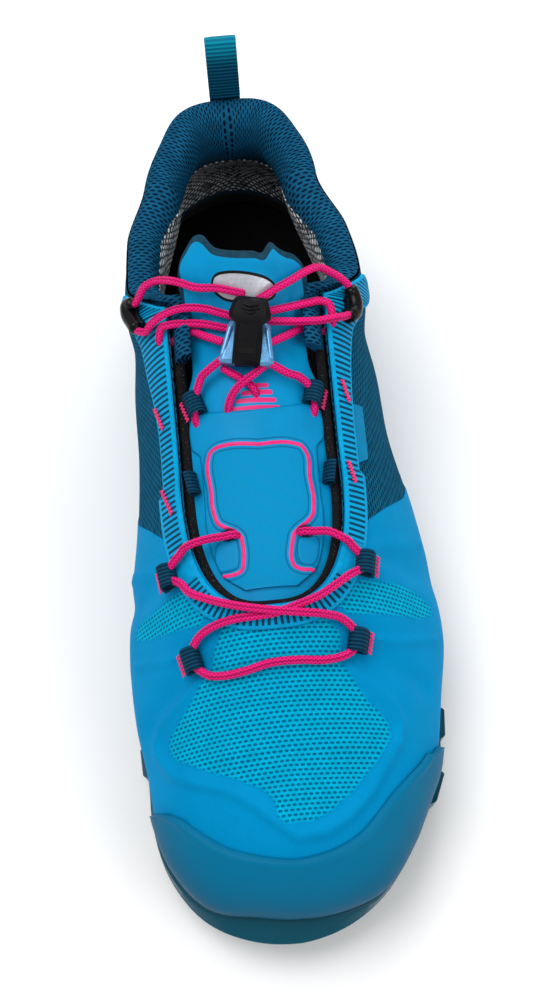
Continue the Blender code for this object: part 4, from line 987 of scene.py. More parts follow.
def bed_z(walk, radius):
    station, heading = frame_of(walk)
    return float(bed_at(station + radius * math.cos(heading)))


def insole_section(side, walk):
    """Thin footbed lying in the rim's cup, thicker round its edge."""
    cup = cup_of(side, walk)
    edge = cup - FILLET - CLEAR
    under = [(a, bed_z(walk, a) + CLEAR) for a in (0, cup * .3, cup * .6, edge)]
    top = INSOLE_THICKNESS + CLEAR
    over = [(edge, top - FILLET), (edge - FILLET, top), (edge - .006, top - SOFT), (edge * .5, top - .001)]
    over.append((0, top - .001))
    return under + [(a, bed_z(walk, a) + z) for a, z in over]


def round_loft(shape, walks, section, lined_from=99):
    """Body whose section from the centre line out and back is given for each rib round the foot."""
    rows = []
    for side, walk in all_round(walks):
        points = np.array(section(side, walk))
        rows.append(place(side, walk, points[:, 0], points[:, 1]))
    rows = np.array(rows)
    lined = np.broadcast_to((np.arange(rows.shape[1]) >= lined_from).astype(float), rows.shape[:2])
    return shape.grid(rows, wrap=True, lined=lined)


def half_width(side, station):
    """Distance from the spine to the flange at a station, round the heel and toe too."""
    walks = np.linspace(0, 1, 401)
    row = sole_at(walks)[:, 1 if side > 0 else 0]
    where, heading = frame_of(walks)
    return float(np.interp(station, where + row * np.cos(heading), row * np.sin(heading)))


# Lugs: distance between them, length of a side, inset from the flange, lean of the chevron, taper
LUG_PITCH = 0.0172
LUG_SIZE = 0.0100
LUG_INSET = 0.0062
LUG_LEAN = 0.0022
LUG_TIP = 0.84
SIDE_LUG_RISE = 0.0045
# Outline of a side lug: distance along the sole and reach past the flange
SIDE_LUG = [(-.0065, -.0014), (-.0052, .0010), (-.0045, .0016), (.0045, .0016), (.0052, .0010),
            (.0065, -.0014)]
# Station shares of the rows of lugs, and station share and side of the lugs past the flange
LUG_ROWS = (.060, .122, .184, .246, .308, .560, .621, .682, .743, .804, .865, .920)
SIDE_LUGS = [(.10, 1), (.19, 1), (.28, 1), (.58, 1), (.67, 1), (.76, 1), (.84, 1),
             (.10, -1), (.19, -1), (.28, -1), (.58, -1), (.67, -1), (.775, -1)]


def prism(shape, low, high):
    """Closed block between two matching outlines, its edges broken by a small chamfer."""
    low, high = np.array(low), np.array(high)
    inset = low.mean(axis=0) + (low - low.mean(axis=0)) * .94
    rise = low + (high - low) * .12
    shape.tube(np.stack([inset, rise, high]))


def add_lugs(shape):
    """Chevron lugs under heel and forefoot, and the lugs that reach past the flange."""
    top = LUG_DEPTH + .001
    for share in LUG_ROWS:
        s = share * LENGTH
        left, right = half_width(-1, s) - LUG_INSET, half_width(1, s) - LUG_INSET
        count = max(2, int((left + right) / LUG_PITCH))
        for k in range(count):
            x = -left + (left + right) * (k + .5) / count
            w, d = LUG_SIZE * .5, LUG_SIZE * .42
            lean = LUG_LEAN * (1 if s > .5 * LENGTH else -1)
            outline = [(x - w, s - d), (x, s - d + lean), (x + w, s - d)]
            outline += [(x + w, s + d * .6), (x, s + d * .6 + lean), (x - w, s + d * .6)]
            middle = np.mean(outline, axis=0)
            tips = [middle + (np.array(p) - middle) * LUG_TIP for p in outline]
            prism(shape, [spot(a, b, float(lift_at(b))) for a, b in tips],
                  [spot(a, b, float(lift_at(b)) + top) for a, b in outline])
    for share, side in SIDE_LUGS:
        s = share * LENGTH
        ring = [(side * (half_width(side, s + ds) + reach), s + ds) for ds, reach in SIDE_LUG]
        prism(shape, [spot(a - side * .0012, b, float(lift_at(b))) for a, b in ring],
              [spot(a, b, float(lift_at(b)) + LUG_DEPTH + SIDE_LUG_RISE) for a, b in ring])


def make_sole():
    heel, toe = np.linspace(0, HEEL_SHARE, 40)[:-1], np.linspace(TOE_SHARE, 1, 60)[1:]
    walks = list(heel) + walks_between(HEEL_CENTRE, .82, 90) + list(toe)
    shape = round_loft(Shape(), walks, outsole_section)
    add_lugs(shape)
    # The outsole's teal is painted darker towards the bottom: painted shade
    rubber = rubber_look("outsole rubber", TEAL, TEAL_PAINTED_SHADE, .28, .25)
    shape.object("outsole_rubber", rubber, "rubber", ["outsole"], 40)
    foam = round_loft(Shape(), walks, midsole_section, RIM_POINT)
    foam.object("midsole_foam", foam_look(), "foam", ["midsole"], 40)
    bed = round_loft(Shape(), walks, insole_section)
    bed.object("footbed", black_cloth_look(), "lining", ["insole"], 40)


# Outlines on the upper's flat chart, in mm: across from the spine and along the crest
WINDOWS = [
    [(-25.2, 188.6), (-32, 195.7), (-40.8, 203.1), (-41.8, 207), (-38.7, 211.2), (-27.8, 217.2),
     (-16.3, 222.4), (-9.2, 226.1), (-5.8, 230.1), (-5.1, 234.8), (-2.8, 237.2), (6.3, 237.5),
     (12.4, 235), (20.6, 228.9), (29, 219.8), (34.6, 211.7), (34.8, 206.7), (27.3, 199.1), (22.8, 192.2),
     (19.8, 188.2), (21.2, 179.4), (15.8, 174), (1.5, 172), (-16, 172), (-20.6, 180.2), (-22.1, 186.2)],
    [(-62.5, 165), (-59, 160.2), (-43.7, 159.2), (-33.1, 158.6), (-24, 160), (-15.4, 165), (-24.8, 172.6),
     (-38.6, 170.6), (-51, 168.6)],
    [(17, 169), (25.2, 164), (29.8, 161.5), (40.1, 160.5), (49.6, 159.2), (57, 160), (65.9, 162.5),
     (65.8, 166.3), (56.9, 169.9), (36.3, 172.5), (24.7, 173.9)],
]
# Where the film starts, on the same chart: across, along
FILM_START = [(-120, 60), (-90, 96), (-77, 112), (-64.8, 122.8), (-50.5, 131.2), (-38.6, 139.3),
              (-30, 146), (0, 160), (28, 147), (35.5, 141.3), (46.8, 133.7), (61.3, 125.5), (76, 113),
              (90, 96), (120, 60)]
# Soft ridges of the welded layers: half width, height and points, in mm
RIDGES = [
    (1.3, .35, [(-60.8, 173.8), (-43.7, 178.2), (-33, 179.6)]),
    (1.8, .45, [(-27.3, 189.7), (-34, 193.5), (-46.1, 198.3), (-47.9, 202.7)]),
    (2.2, .55, [(-48, 206), (-39.1, 216.1), (-28.5, 220.9), (-18.3, 225.1), (-11.3, 230.2), (-6.7, 234.6),
                (1, 240.8), (10.3, 240), (18.4, 235.7), (26.1, 228.6), (35.9, 213.3)]),
    (1.8, .45, [(23, 190.6), (30.5, 196.5), (36.8, 200.8), (39.4, 207.1), (35.9, 213.3)]),
    (1.3, .35, [(29.6, 180.9), (43.6, 179.7), (64.9, 174.6)]),
    (1.6, .35, [(-30, 150), (-45, 148), (-66, 142)]),
    (1.6, .35, [(30, 152), (48, 147), (68, 140)]),
]
# Creases of wear: half width, depth and points, in mm
CREASES = [
    (5.0, -.55, [(-52, 196), (-40, 190), (-28, 184)]),
    (5.0, -.50, [(54, 192), (42, 188), (30, 183)]),
    (4.0, -.35, [(-18, 199), (0, 203), (18, 200)]),
    (5.0, -.45, [(-72, 150), (-58, 154), (-42, 152)]),
    (5.0, -.45, [(72, 150), (58, 153), (44, 152)]),
]
RELIEF_SCALE = 3.0
RAND_HEIGHT, COUNTER_HEIGHT, COUNTER_REACH = .013, .040, .052


def upper_fields(side, field):
    """Signed distances and relief of the upper's panels from the charts."""
    flat, ring = field[..., 6:8], field[..., 8:10]
    mm = flat * 1000
    keys, starts = zip(*FILM_START)
    front = (flat[..., 1] - np.interp(mm[..., 0], keys, starts) / 1000) * .85
    around = np.abs(ring[..., 0])
    rand = RAND_HEIGHT - ring[..., 1]
    counter = COUNTER_HEIGHT * np.sqrt(np.clip(1 - (around / COUNTER_REACH) ** 2, 0, 1)) - ring[..., 1]
    film = np.maximum(np.maximum(front, rand), counter)
    window = np.max([inside_distance(mm, w) for w in WINDOWS], axis=0) / 1000
    relief = .00035 * rise_over(film, -.0004, .0004)
    relief = relief - .00022 * rise_over(window, -.0006, .0012)
    for half, height, line in RIDGES + CREASES:
        far = line_distance(mm, line)
        relief = relief + RELIEF_SCALE * height / 1000 * np.exp(-(far / half) ** 2)
    return film, window, relief


def bend_station(angle):
    """Station on the throat's rounded front, from its bend at 0 to its tip at a right angle."""
    return THROAT_BEND + (THROAT_FRONT - THROAT_BEND) * math.sin(angle)


def upper_walks():
    """Ribs of the upper, close together round the throat's front."""
    heel = list(np.linspace(0, HEEL_SHARE, 34)[:-1])
    sides = walks_between(HEEL_CENTRE, .525, 84)[:-1]
    bend = [walk_at(bend_station(math.radians(3 * k))) for k in range(31)]
    front = walks_between(.680, TOE_CENTRE, 34)[1:-1]
    return heel + sides + bend + front + list(np.linspace(TOE_SHARE, 1, 62))


EDGE_PULL = 0.8
COARSE = np.array((0., .10, .22, .35, .48, .61, .74, .87, 1.))
LEVEL_COUNT = 76


def make_upper():
    """Shell from the foot line to collar, throat edge or crest, with its welded layers in relief."""
    walks = upper_walks()
    ribs = all_round(walks)
    levels = np.interp(np.linspace(0, 8, LEVEL_COUNT), np.arange(9), COARSE)
    outer, inner, films, windows, flats, rings = [], [], [], [], [], []
    for side, w in ribs:
        cut = cut_of(side, w)
        reached = levels - (1 - cut) * levels ** (EDGE_PULL / max(1 - cut, .1))
        field = skin(side, w, reached)
        normal = field[:, 3:6].copy()
        if cut >= 1. and w > HEEL_SHARE:
            crest = skin(1, min(w, TOE_SHARE), 1.)[3:6] + skin(-1, min(w, TOE_SHARE), 1.)[3:6]
            normal[-1] = unit(crest * (0, 1, 1))
        film, window, relief = upper_fields(side, field)
        outer.append(field[:, :3] + normal * relief[:, None])
        inner.append(field[:, :3] - normal * WALL)
        films.append(film)
        windows.append(window)
        flats.append(field[:, 6:8])
        rings.append(field[:, 8:10])
    shape = Shape()
    gathered = {"film": films, "window": windows, "flat": flats, "ring": rings}
    fields = {key: np.array(rows) for key, rows in gathered.items()}
    wall = np.zeros(fields["film"].shape)
    shape.grid(outer, wrap=True, wall=wall, **fields).grid(inner, wrap=True, wall=wall + 1, **fields)
    closed = [i for i, (_, w) in enumerate(ribs) if w > HEEL_SHARE and cut_of(*ribs[i]) >= 1.]
    open_ribs = list(range(closed[-1], len(ribs))) + list(range(closed[0] + 1))
    for end, order, wrap in ((0, list(range(len(ribs))), True), (-1, open_ribs, False)):
        rim = np.array([(inner[i][end], outer[i][end]) for i in order])
        ends = {k: np.stack([v[order, end], v[order, end]], 1) for k, v in fields.items()}
        shape.grid(rim, wrap=wrap, wall=np.zeros(ends["film"].shape), **ends)
    shape.object("upper_shell", upper_look(), "overlay", ["upper"])


# Section of the knit roll: distance under the edge and depth, in mm, at the collar and beside the throat
COLLAR_ROLL = [(-29, 3.6), (-20, 3.6), (-10, 3.9), (.6, 3.1), (.6, .6), (2.4, 2.2), (3.2, 5.5), (1.8, 9.6),
               (-4, 12.4), (-12, 12.6), (-22, 9.0)]
THROAT_ROLL = [(-8, 3.4), (-6, 3.4), (-3, 3.3), (1.2, .6), (3.2, -.6), (5.6, -1.0), (7.4, -.6), (8.2, .8),
               (7.0, 2.4), (1, 5.0), (-7, 5.5)]
STRIP_END = .393


def closed_curve(points, count):
    """Smooth closed curve through a ring of points."""
    ring = np.asarray(points)
    n = len(ring)
    long = np.concatenate([ring[-3:], ring, ring[:3]])
    return smooth(np.arange(-3, n + 3), long, np.linspace(0, n, count, endpoint=False))


def rolled(walk, collar, throat):
    """The collar's table, turning into the throat's where the throat begins."""
    share = rise_over(frame_of(walk)[0] / LENGTH, .285, .325)
    return np.array(collar) * (1 - share) + np.array(throat) * share


def make_collar():
    """Soft knit roll inside the topline, thinning into a strip down each side of the throat."""
    walks = walks_between(STRIP_END, HEEL_CENTRE, 96) + list(np.linspace(HEEL_SHARE, 0, 44)[1:-1])
    ribs = [(1, w) for w in walks] + [(-1, w) for w in [0.] + walks[::-1]]
    rings, charts = [], []
    for side, walk in ribs:
        pairs = rolled(walk, COLLAR_ROLL, THROAT_ROLL)
        ring = np.array([near_edge(side, walk, a / 1000, b / 1000) for a, b in pairs])
        ring = closed_curve(ring, 44)
        rings.append(ring)
        around = arc_of(ring)
        run = float(skin(side, walk, .5)[8])
        charts.append(np.stack([np.full(len(ring), run), around], -1))
    roll = Shape().tube(rings, ring=np.array(charts))
    roll.object("collar_knit", knit_look(), "knit", ["collar_padding"], 60)


# Lining over the padding: distance under the edge and depth, in mm, at the collar and beside the throat
LINING_COLLAR = [(-70, 3.4), (-38, 3.4), (-31, 5.2), (-22, 9.6), (-12, 13.1), (-5, 13.0), (-1.5, 11.6)]
LINING_THROAT = [(-70, 3.4), (-38, 3.4), (-31, 3.4), (-22, 3.4), (-12, 3.6), (-7, 6.0), (-2, 6.2)]
LINING_WALL = .0005
LINING_DIP = 22.


def make_lining():
    """Slubbed lining from the footbed up over the collar's padding."""
    walks = list(np.linspace(0, HEEL_SHARE, 40)[:-1])
    walks += walks_between(HEEL_CENTRE, .50, 60)
    ribs = [(1, w) for w in walks[::-1]] + [(-1, w) for w in walks[1:]]
    under, over, charts = [], [], []
    for side, w in ribs:
        table = rolled(w, LINING_COLLAR, LINING_THROAT)
        curve = rib(side, w)
        whole = float(np.hypot(*np.diff(curve[RISE <= cut_of(side, w)], axis=0).T).sum()) * 1000
        back = rise_over(1 - w / HEEL_SHARE, -.3, .6)
        along = np.linspace(-whole + .3, table[-1, 0] - LINING_DIP * back, 70)
        depth = smooth(table[:, 0], table[:, 1], along, limit=True)
        under.append([near_edge(side, w, a / 1000, d / 1000 - LINING_WALL) for a, d in zip(along, depth)])
        over.append([near_edge(side, w, a / 1000, d / 1000) for a, d in zip(along, depth)])
        run = float(skin(side, w, .5)[8])
        charts.append(np.stack([np.full(len(along), run), (along + whole) / 1000], -1))
    Shape().slab(np.array(under), np.array(over), ring=np.array(charts)).object(
        "heel_lining", heel_lining_look(), "lining")


# Station share, shares of the instep's height for face and sag, of the ball's width and of the wall
TONGUE = [
    (.700, .690, .074, .20, .60), (.665, .716, .080, .23, .65), (.612, .757, .080, .25, .75),
    (.524, .815, .092, .258, .85), (.437, .886, .106, .240, .9), (.408, .906, .122, .195, .95),
    (.367, .945, .133, .190, 1.), (.332, 1.010, .122, .197, 1.05), (.306, 1.085, .092, .213, .9),
    (.276, 1.160, .080, .213, .8),
]
SAG_AT = 0.024
# Top edge: share of the half width, metres from its station
TONGUE_TOP = [(-1., .0022), (-.907, -.0022), (-.78, -.0050), (-.65, -.0069), (-.555, -.0062), (-.42, -.0031),
              (-.25, -.0016), (-.1, -.0010), (.2, -.0006), (.37, -.0006), (.43, -.0021), (.475, -.0030),
              (.54, -.0022), (.64, -.0014), (.785, -.0011), (.9, .0002), (1., .0024)]
TOP_SHARE = .306
TONGUE_RIM = .0021
RIM_TO = .0915


def tongue_rows(stations):
    keys = [r[0] * LENGTH for r in TONGUE[::-1]]
    rows = [(r[1] * INSTEP_HEIGHT, r[2] * INSTEP_HEIGHT, r[3] * BALL_WIDTH, r[4]) for r in TONGUE[::-1]]
    return smooth(keys, rows, stations)


def tongue_point(station, across, drop):
    """Points and normals of the tongue: across from -1 to 1 of its half width, drop under its face."""
    station, across = np.broadcast_arrays(np.asarray(station, float), np.asarray(across, float))
    at, ahead = tongue_rows(station), tongue_rows(station + .001)
    x = across * at[..., 2]
    z = at[..., 0] - at[..., 1] * (x / SAG_AT) ** 2
    slope = (ahead[..., 0] - at[..., 0]) / .001
    normal = unit(np.stack([2 * at[..., 1] * x / SAG_AT ** 2, slope, np.ones_like(x)], -1))
    point = np.stack([x, LENGTH / 2 - station, z], -1) - CENTRE
    return point - normal * (drop * TONGUE_WALL * at[..., 3])[..., None], normal


def tongue_half(station):
    return float(tongue_rows(station)[2])


# Outlines on the tongue and its cover, in mm: across from the spine and from the heel's back
PATCH = [(-9.8, 92.2), (-8.6, 91.0), (-4, 91.2), (2.5, 92), (8.6, 93.0), (10.6, 94.8), (8.6, 97.6),
         (2, 98.2), (-5.2, 97.4), (-8.9, 94.6)]
# Stripes: half width and lean, then x of both ends and distance from the heel's back
STRIPE_HALF, STRIPE_LEAN = .70, .03
STRIPES = [(-.9, 5.2, 124.2), (-3.9, 6.2, 126.4), (-5.8, 7.2, 128.8), (-7.6, 8.3, 131.2)]
# Soft folds: half width, height and points
TONGUE_FOLDS = [
    (1.2, .5, [(-19, 92), (-14.5, 99), (-11, 108)]),
    (1.2, .5, [(-13.5, 90), (-13, 96), (-9.5, 103)]),
    (1.2, .5, [(20, 92), (16, 99), (12.5, 106)]),
    (1.2, .5, [(14, 93.5), (13.5, 98), (10, 103)]),
    (1.6, -.4, [(-10, 89.8), (0, 91), (10, 91.6)]),
    (2.2, -.5, [(-14, 112), (0, 116), (14, 112)]),
]


def make_tongue():
    """Padded tongue under the throat, its top edge drawn out into two blunt tabs."""
    shares = np.linspace(-1, 1, 97)
    edge = smooth(*zip(*TONGUE_TOP), shares) + TOP_SHARE * LENGTH
    body = np.linspace(.320 * LENGTH, .700 * LENGTH, 130)[::-1]
    top = np.array([edge + (body[-1] - edge) * t for t in (.8, .6, .45, .3, .18, .08, .02, 0)])
    stations = np.concatenate([np.repeat(body[:, None], 97, axis=1), top])
    point, normal = tongue_point(stations, shares[None], 0.)
    back, _ = tongue_point(stations, shares[None] * .985, 1.)
    chart = np.stack([(point + CENTRE)[..., 0], stations], -1) * 1000
    relief = sum(h / 1000 * np.exp(-(line_distance(chart, line) / w) ** 2) for w, h, line in TONGUE_FOLDS)
    from_edge = np.minimum(np.linalg.norm(point - point[-1:], axis=-1), .0015)
    drop = .0009 * (1 - rise_over(from_edge, 0, .0015)) + .0009 * rise_over(np.abs(shares), .97, 1.)
    point = point + normal * (relief - drop)[..., None]
    x, along = chart[..., 0], chart[..., 1]
    stripe = np.max([np.minimum(STRIPE_HALF - np.abs(along - s - STRIPE_LEAN * (x - (a + b) / 2)),
                                np.minimum(x - a, b - x)) for a, b, s in STRIPES], axis=0)
    below = np.linalg.norm(point - point[-1:], axis=-1)
    beside = (1 - np.abs(shares))[None] * tongue_rows(stations)[..., 2]
    beside = beside + np.maximum(0, stations - RIM_TO) * .3
    patch = inside_distance(chart, rounded(PATCH))
    bright = np.minimum(below, beside) - TONGUE_RIM
    fields = {"bright": bright, "patch": patch / 1000, "stripe": stripe / 1000}
    Shape().slab(back, point, **fields).object("tongue_cloth", tongue_look(), "overlay", ["tongue"], 60)


# Station share and half width in metres
COVER = [(.459, .0205), (.474, .0215), (.490, .0212), (.502, .0186), (.558, .0184), (.570, .0187),
         (.60, .0180), (.635, .0150), (.656, .0085)]
PINK_LEFT = [(.2, 143.0), (-10.3, 141.6), (-13.0, 141.7), (-14.8, 142.6), (-15.8, 145), (-15.7, 154.6),
             (-15.4, 162.1), (-14.2, 165.8), (-12, 167.6), (-9.5, 169.2), (-7.9, 171), (-7.4, 174),
             (-7.7, 179.5), (-8.4, 181.6), (-10.5, 182.3), (-14.6, 182.4), (-17, 183.6), (-17.8, 186)]
PINK_RIGHT = [(.2, 143.0), (11, 142.8), (13.2, 143.3), (14.6, 145.2), (14.9, 152.8), (15.4, 161.8),
              (14.6, 165.6), (12.6, 168), (10.3, 169.8), (8.4, 171.8), (7.6, 174.6), (6.9, 179.6),
              (7.6, 181.6), (9.5, 182.6), (13.3, 183), (14.8, 184.4), (15.4, 187.5)]
GROOVE_OUT = 1.5
TOP_LEVEL, TOP_SAG = .0006, .0041
FLAP_WINDOWS = [
    [(-16.3, 174.4), (-16.7, 179.6), (-14.8, 181.3), (-9.9, 181.2), (-8.9, 179.1), (-8.7, 172.8),
     (-10.5, 171), (-15.2, 171.6)],
    [(11.1, 172.2), (9.4, 173.6), (8.7, 179.6), (10.6, 181.6), (14.6, 181), (16.3, 174), (15.2, 172)],
]
# Holes of the cover: middle and radius
FLAP_HOLES = [(-11.6, 169.9, 1.9), (12.4, 170.9, 1.9)]


def offset_line(line, gap):
    """Copy of a polyline moved sideways by a gap."""
    line = np.asarray(line, float)
    ahead = unit(np.gradient(line, axis=0))
    return line + np.stack([-ahead[:, 1], ahead[:, 0]], -1) * gap


def make_flap():
    """Thin cover over the lower lacing, with its outline, windows and two lace holes."""
    keys, halves = zip(*COVER)
    stations = np.linspace(COVER[0][0], COVER[-1][0], 170) * LENGTH
    half = smooth(keys, halves, stations / LENGTH, limit=True)
    shares = np.linspace(-1, 1, 111)
    wide = tongue_rows(stations)[:, 2]
    across = shares[None] * (half / wide)[:, None]
    fade = np.clip(1 - (stations - stations[0]) / .020, 0, 1)[:, None] ** 2
    at = stations[:, None] + (TOP_LEVEL - TOP_SAG * shares[None] ** 2) * fade
    point, normal = tongue_point(at, across, 0.)
    chart = np.stack([(point + CENTRE)[..., 0], at], -1) * 1000
    left, right = route2(PINK_LEFT), route2(PINK_RIGHT)
    pink = np.minimum(line_distance(chart, left), line_distance(chart, right))
    inner = [offset_line(left, -GROOVE_OUT), offset_line(right, GROOVE_OUT)]
    outer = [offset_line(left, GROOVE_OUT), offset_line(right, -GROOVE_OUT)]
    groove = np.min([line_distance(chart, g) for g in inner + outer], axis=0)
    window = np.max([inside_distance(chart, rounded(w)) for w in FLAP_WINDOWS], axis=0)
    groove = np.minimum(groove, np.abs(window))
    woven = inside_distance(chart, np.vstack([inner[0], inner[1][::-1]]))
    hole = np.max([r - np.hypot((chart[..., 0] - x) * .75, chart[..., 1] - s) for x, s, r in FLAP_HOLES],
                  axis=0)
    relief = .00028 * np.exp(-(pink / .55) ** 2) - .00008 * np.exp(-(groove / .3) ** 2)
    relief = relief + .00012 * rise_over(window, -.2, .9) - .0009 * rise_over(hole, -.5, .3)
    edge = np.minimum((1 - np.abs(shares))[None] * half[:, None], (stations - stations[0])[:, None])
    lift = CLEAR + FLAP_WALL * (.35 + .65 * rise_over(edge, 0, .0007))
    fields = {"pink": pink / 1000, "groove": groove / 1000, "woven": woven / 1000, "hole": hole / 1000}
    Shape().slab(point + normal * CLEAR, point + normal * (lift + relief)[..., None], **fields).object(
        "tongue_cover", flap_look(), "overlay", ["tongue_flap"], 60)


def route2(line):
    """Smooth copy of a polyline on a chart."""
    flat = np.c_[np.asarray(line, float), np.zeros(len(line))]
    return route(flat, .5)[0][:, :2]


# Station share, medial and lateral width of the band
STAY = [(.272, .0050, .0050), (.290, .0105, .0105), (.312, .0140, .0155), (.335, .0155, .0160),
        (.360, .0150, .0125), (.390, .0130, .0100), (.420, .0102, .0086), (.450, .0086, .0078),
        (.525, .0080, .0070)]


def stay_row(side, station, lift, shares):
    widths = [row[1 if side < 0 else 2] for row in STAY]
    width = float(smooth([row[0] for row in STAY], widths, station / LENGTH))
    walk = walk_at(station)
    return np.array([near_edge(side, walk, -.0004 - width * a, -lift) for a in shares]), width


def bend_row(side, angle, lift, shares):
    """Row across the band where it rounds the throat's front."""
    station = bend_station(angle)
    x = float(throat_half(station))
    out = unit(np.array((.0002, x - float(throat_half(station + .0002)))))
    if angle > math.radians(89.9):
        x, out = 0., np.array((0., 1.))
    row = []
    for a in shares:
        reach = .0004 + FRONT_WIDTH * a
        row.append(on_last(side * (x + out[0] * reach), station + out[1] * reach, lift)[0])
    return np.array(row)


def make_eyestay():
    """Ribbed band of webbing round the throat."""
    shares = np.array((0, .03, .08, .2, .35, .5, .65, .8, .92, .97, 1.))
    ease = np.array((.45, .8, 1, 1, 1, 1, 1, 1, 1, .8, .45))
    arms = {}
    for side in (-1, 1):
        rows, widths = [], []
        for station in np.linspace(.277, .525, 150) * LENGTH:
            low, width = stay_row(side, station, STAY_GAP, shares)
            high, _ = stay_row(side, station, STAY_GAP + STAY_WALL, shares)
            rows.append((low, high))
            widths.append(width)
        for angle in np.radians(np.linspace(2, 90, 60)):
            rows.append([bend_row(side, angle, lift, shares) for lift in (STAY_GAP, STAY_GAP + STAY_WALL)])
            widths.append(FRONT_WIDTH)
        arms[side] = rows, widths
    rows = arms[-1][0] + arms[1][0][-2::-1]
    widths = np.array(arms[-1][1] + arms[1][1][-2::-1])
    low = np.array([r[0] for r in rows])
    high = low + (np.array([r[1] for r in rows]) - low) * ease[None, :, None]
    middle = high[:, 5]
    run = arc_of(middle)
    rim = np.minimum(shares[None] * widths[:, None], (1 - shares)[None] * widths[:, None])
    near = np.min([np.linalg.norm(middle - centre, axis=1) for centre in PLAIN_AT], axis=0)
    fields = {"run": np.repeat(run[:, None], len(shares), axis=1), "rim": rim,
              "plain": np.repeat((near < .0075).astype(float)[:, None], len(shares), axis=1)}
    Shape().slab(low, high, **fields).object("lace_band", tape_look(), "tape", ["eyestay"], 60)


# Top edge of the cap: side, heading in degrees and height, then station share and height at its outer end
CAP = [(-1, 80.5, .0250), (-1, 78, .0310), (-1, 75, .0372), (-1, 70, .0415), (-1, 60, .0440),
       (-1, 50, .0450), (-1, 40, .0456), (-1, 30, .0461), (-1, 20, .0465), (-1, 10, .0467), (1, 0, .0467),
       (1, 10, .0466), (1, 20, .0464), (1, 30, .0463), (1, 40, .0461), (1, 50, .0459), (1, 60, .0457),
       (1, 70, .0452), (1, 80, .0436), (1, 90, .0400)]
CAP_END = [(.813, .0340), (.807, .0272)]
CAP_FROM, CAP_TO = -80.5, 170


def make_toe_cap():
    """Rubber cap over the toe, standing on the sole's rim: its top edge follows the table."""
    table = [(s * h, z, TOE_CENTRE) for s, h, z in CAP]
    table += [(90 + 40 * k, z, t) for k, (t, z) in enumerate(CAP_END, 1)]
    keys = [r[0] for r in table]
    at = np.concatenate([np.linspace(CAP_FROM, 90, 150), np.linspace(91, CAP_TO, 16)])
    rows = smooth(keys, [r[1:] for r in table], at)
    shares = np.concatenate([np.linspace(0, .9, 26), (.94, .97, .985, 1.)])
    under, over = [], []
    for key, (height, share) in zip(at, rows):
        side, heading = (1 if key >= 0 else -1), min(90, abs(key))
        walk = walk_of(TOE_CENTRE, heading) if heading < 90 else walk_at(min(share, TOE_CENTRE) * LENGTH)
        curve = rib(side, walk)
        top = max(float(np.interp(height, curve[:, 1], RISE)) if height > curve[0, 1] else .02, .03)
        floor = float(sole_at(walk)[2] + lift_under_rim(walk)) + CLEAR + .0001
        field = skin(side, walk, .005 + (top - .005) * shares)
        end = min(1., (key - CAP_FROM) / 2.5, (CAP_TO - key) / 25)
        edge = np.interp(shares, (0, .9, .97, 1.), (1., 1., .7, .15)) * (.15 + .85 * math.sqrt(max(0., end)))
        swell = .0006 * np.exp(-((shares - .93) / .035) ** 2)
        low = field[:, :3] + field[:, 3:6] * CAP_GAP
        high = field[:, :3] + field[:, 3:6] * (CAP_GAP + CAP_WALL * np.clip(edge, .15, 1) + swell)[:, None]
        low[:, 2], high[:, 2] = np.maximum(low[:, 2], floor), np.maximum(high[:, 2], floor)
        under.append(low)
        over.append(high)
    # The cap's teal is painted darker towards the bottom and paler at the top: painted shade
    rubber = rubber_look("cap rubber", (0., .155, .30), (0., .055, .11), .42, 0.)
    Shape().slab(under, over).object("toe_cap_rubber", rubber, "rubber", ["toe_cap"], 60)


# Middle of the strap: distance from the heel's back and height, in mm
PULL = [(9.3, 94.8), (9.0, 100.5), (8.1, 108.0), (6.3, 114.4), (4.3, 117.3), (2.4, 116.6), (1.6, 113.0),
        (2.3, 104.5), (4.4, 96.5), (5.9, 90.0), (5.7, 84.0), (5.5, 77.0), (5.1, 71.0), (4.7, 66.0)]


def make_pull_loop():
    """Webbing strap standing in a loop over the heel and stitched down its back."""
    path, arc = route(spots([(0, s, z) for s, z in PULL]), .0005)
    ahead = unit(np.gradient(path, axis=0))
    across = np.array((1., 0, 0))
    up = np.cross(ahead, across)
    shares = np.array((-1, -.96, -.5, 0, .5, .96, 1, .96, .5, 0, -.5, -.96))
    thick = np.array((0, .8, 1, 1, 1, .8, 0, -.8, -1, -1, -1, -.8))
    rings = path[:, None] + across * (shares * PULL_WIDTH / 2)[None, :, None]
    rings = rings + up[:, None] * (thick * PULL_STRAP / 2)[None, :, None]
    run = np.repeat(arc[:, None], len(shares), axis=1)
    turn = np.repeat((shares * PULL_WIDTH / 2)[None], len(path), axis=0)
    Shape().tube(rings, run=run, turn=turn).object("heel_loop", pull_look(), "webbing", ["pull_loop"], 60)


# Name, x, station, lift, turn in degrees and, on the tongue, share of the full width
LOOPS = [
    ("loop_front_inner", -.0252, .2060, .0032, 8), ("loop_front_outer", .0240, .2056, .0032, -8),
    ("loop_mid_inner", -.0293, .1790, .0048, 4), ("loop_mid_outer", .0278, .1822, .0048, -6),
]
TONGUE_LOOPS = [
    ("loop_lock_inner", -.0176, .1262, .0032, 12, 1.), ("loop_lock_outer", .0178, .1262, .0032, -12, 1.),
    ("loop_flap_inner", -.0206, .1505, .0032, 4, .48), ("loop_flap_outer", .0205, .1510, .0032, -4, .48),
]
# Section of a loop, in mm: outwards and up
LOOP_OUTER = [(4.6, -2.7), (4.6, -1.7), (2.6, 1.3), (.9, 2.7), (-.9, 2.7), (-2.7, 1.2), (-2.7, -1.4),
              (-1.5, -2.7)]
LOOP_INNER = [(1.5, -1.6), (2., -.9), (1.9, .6), (.8, 1.8), (-.8, 1.8), (-1.85, .8), (-1.85, -.8),
              (-1.1, -1.6)]


def turned(vector, normal, degrees):
    return np.array(Matrix.Rotation(math.radians(degrees), 3, Vector(normal)) @ Vector(vector))


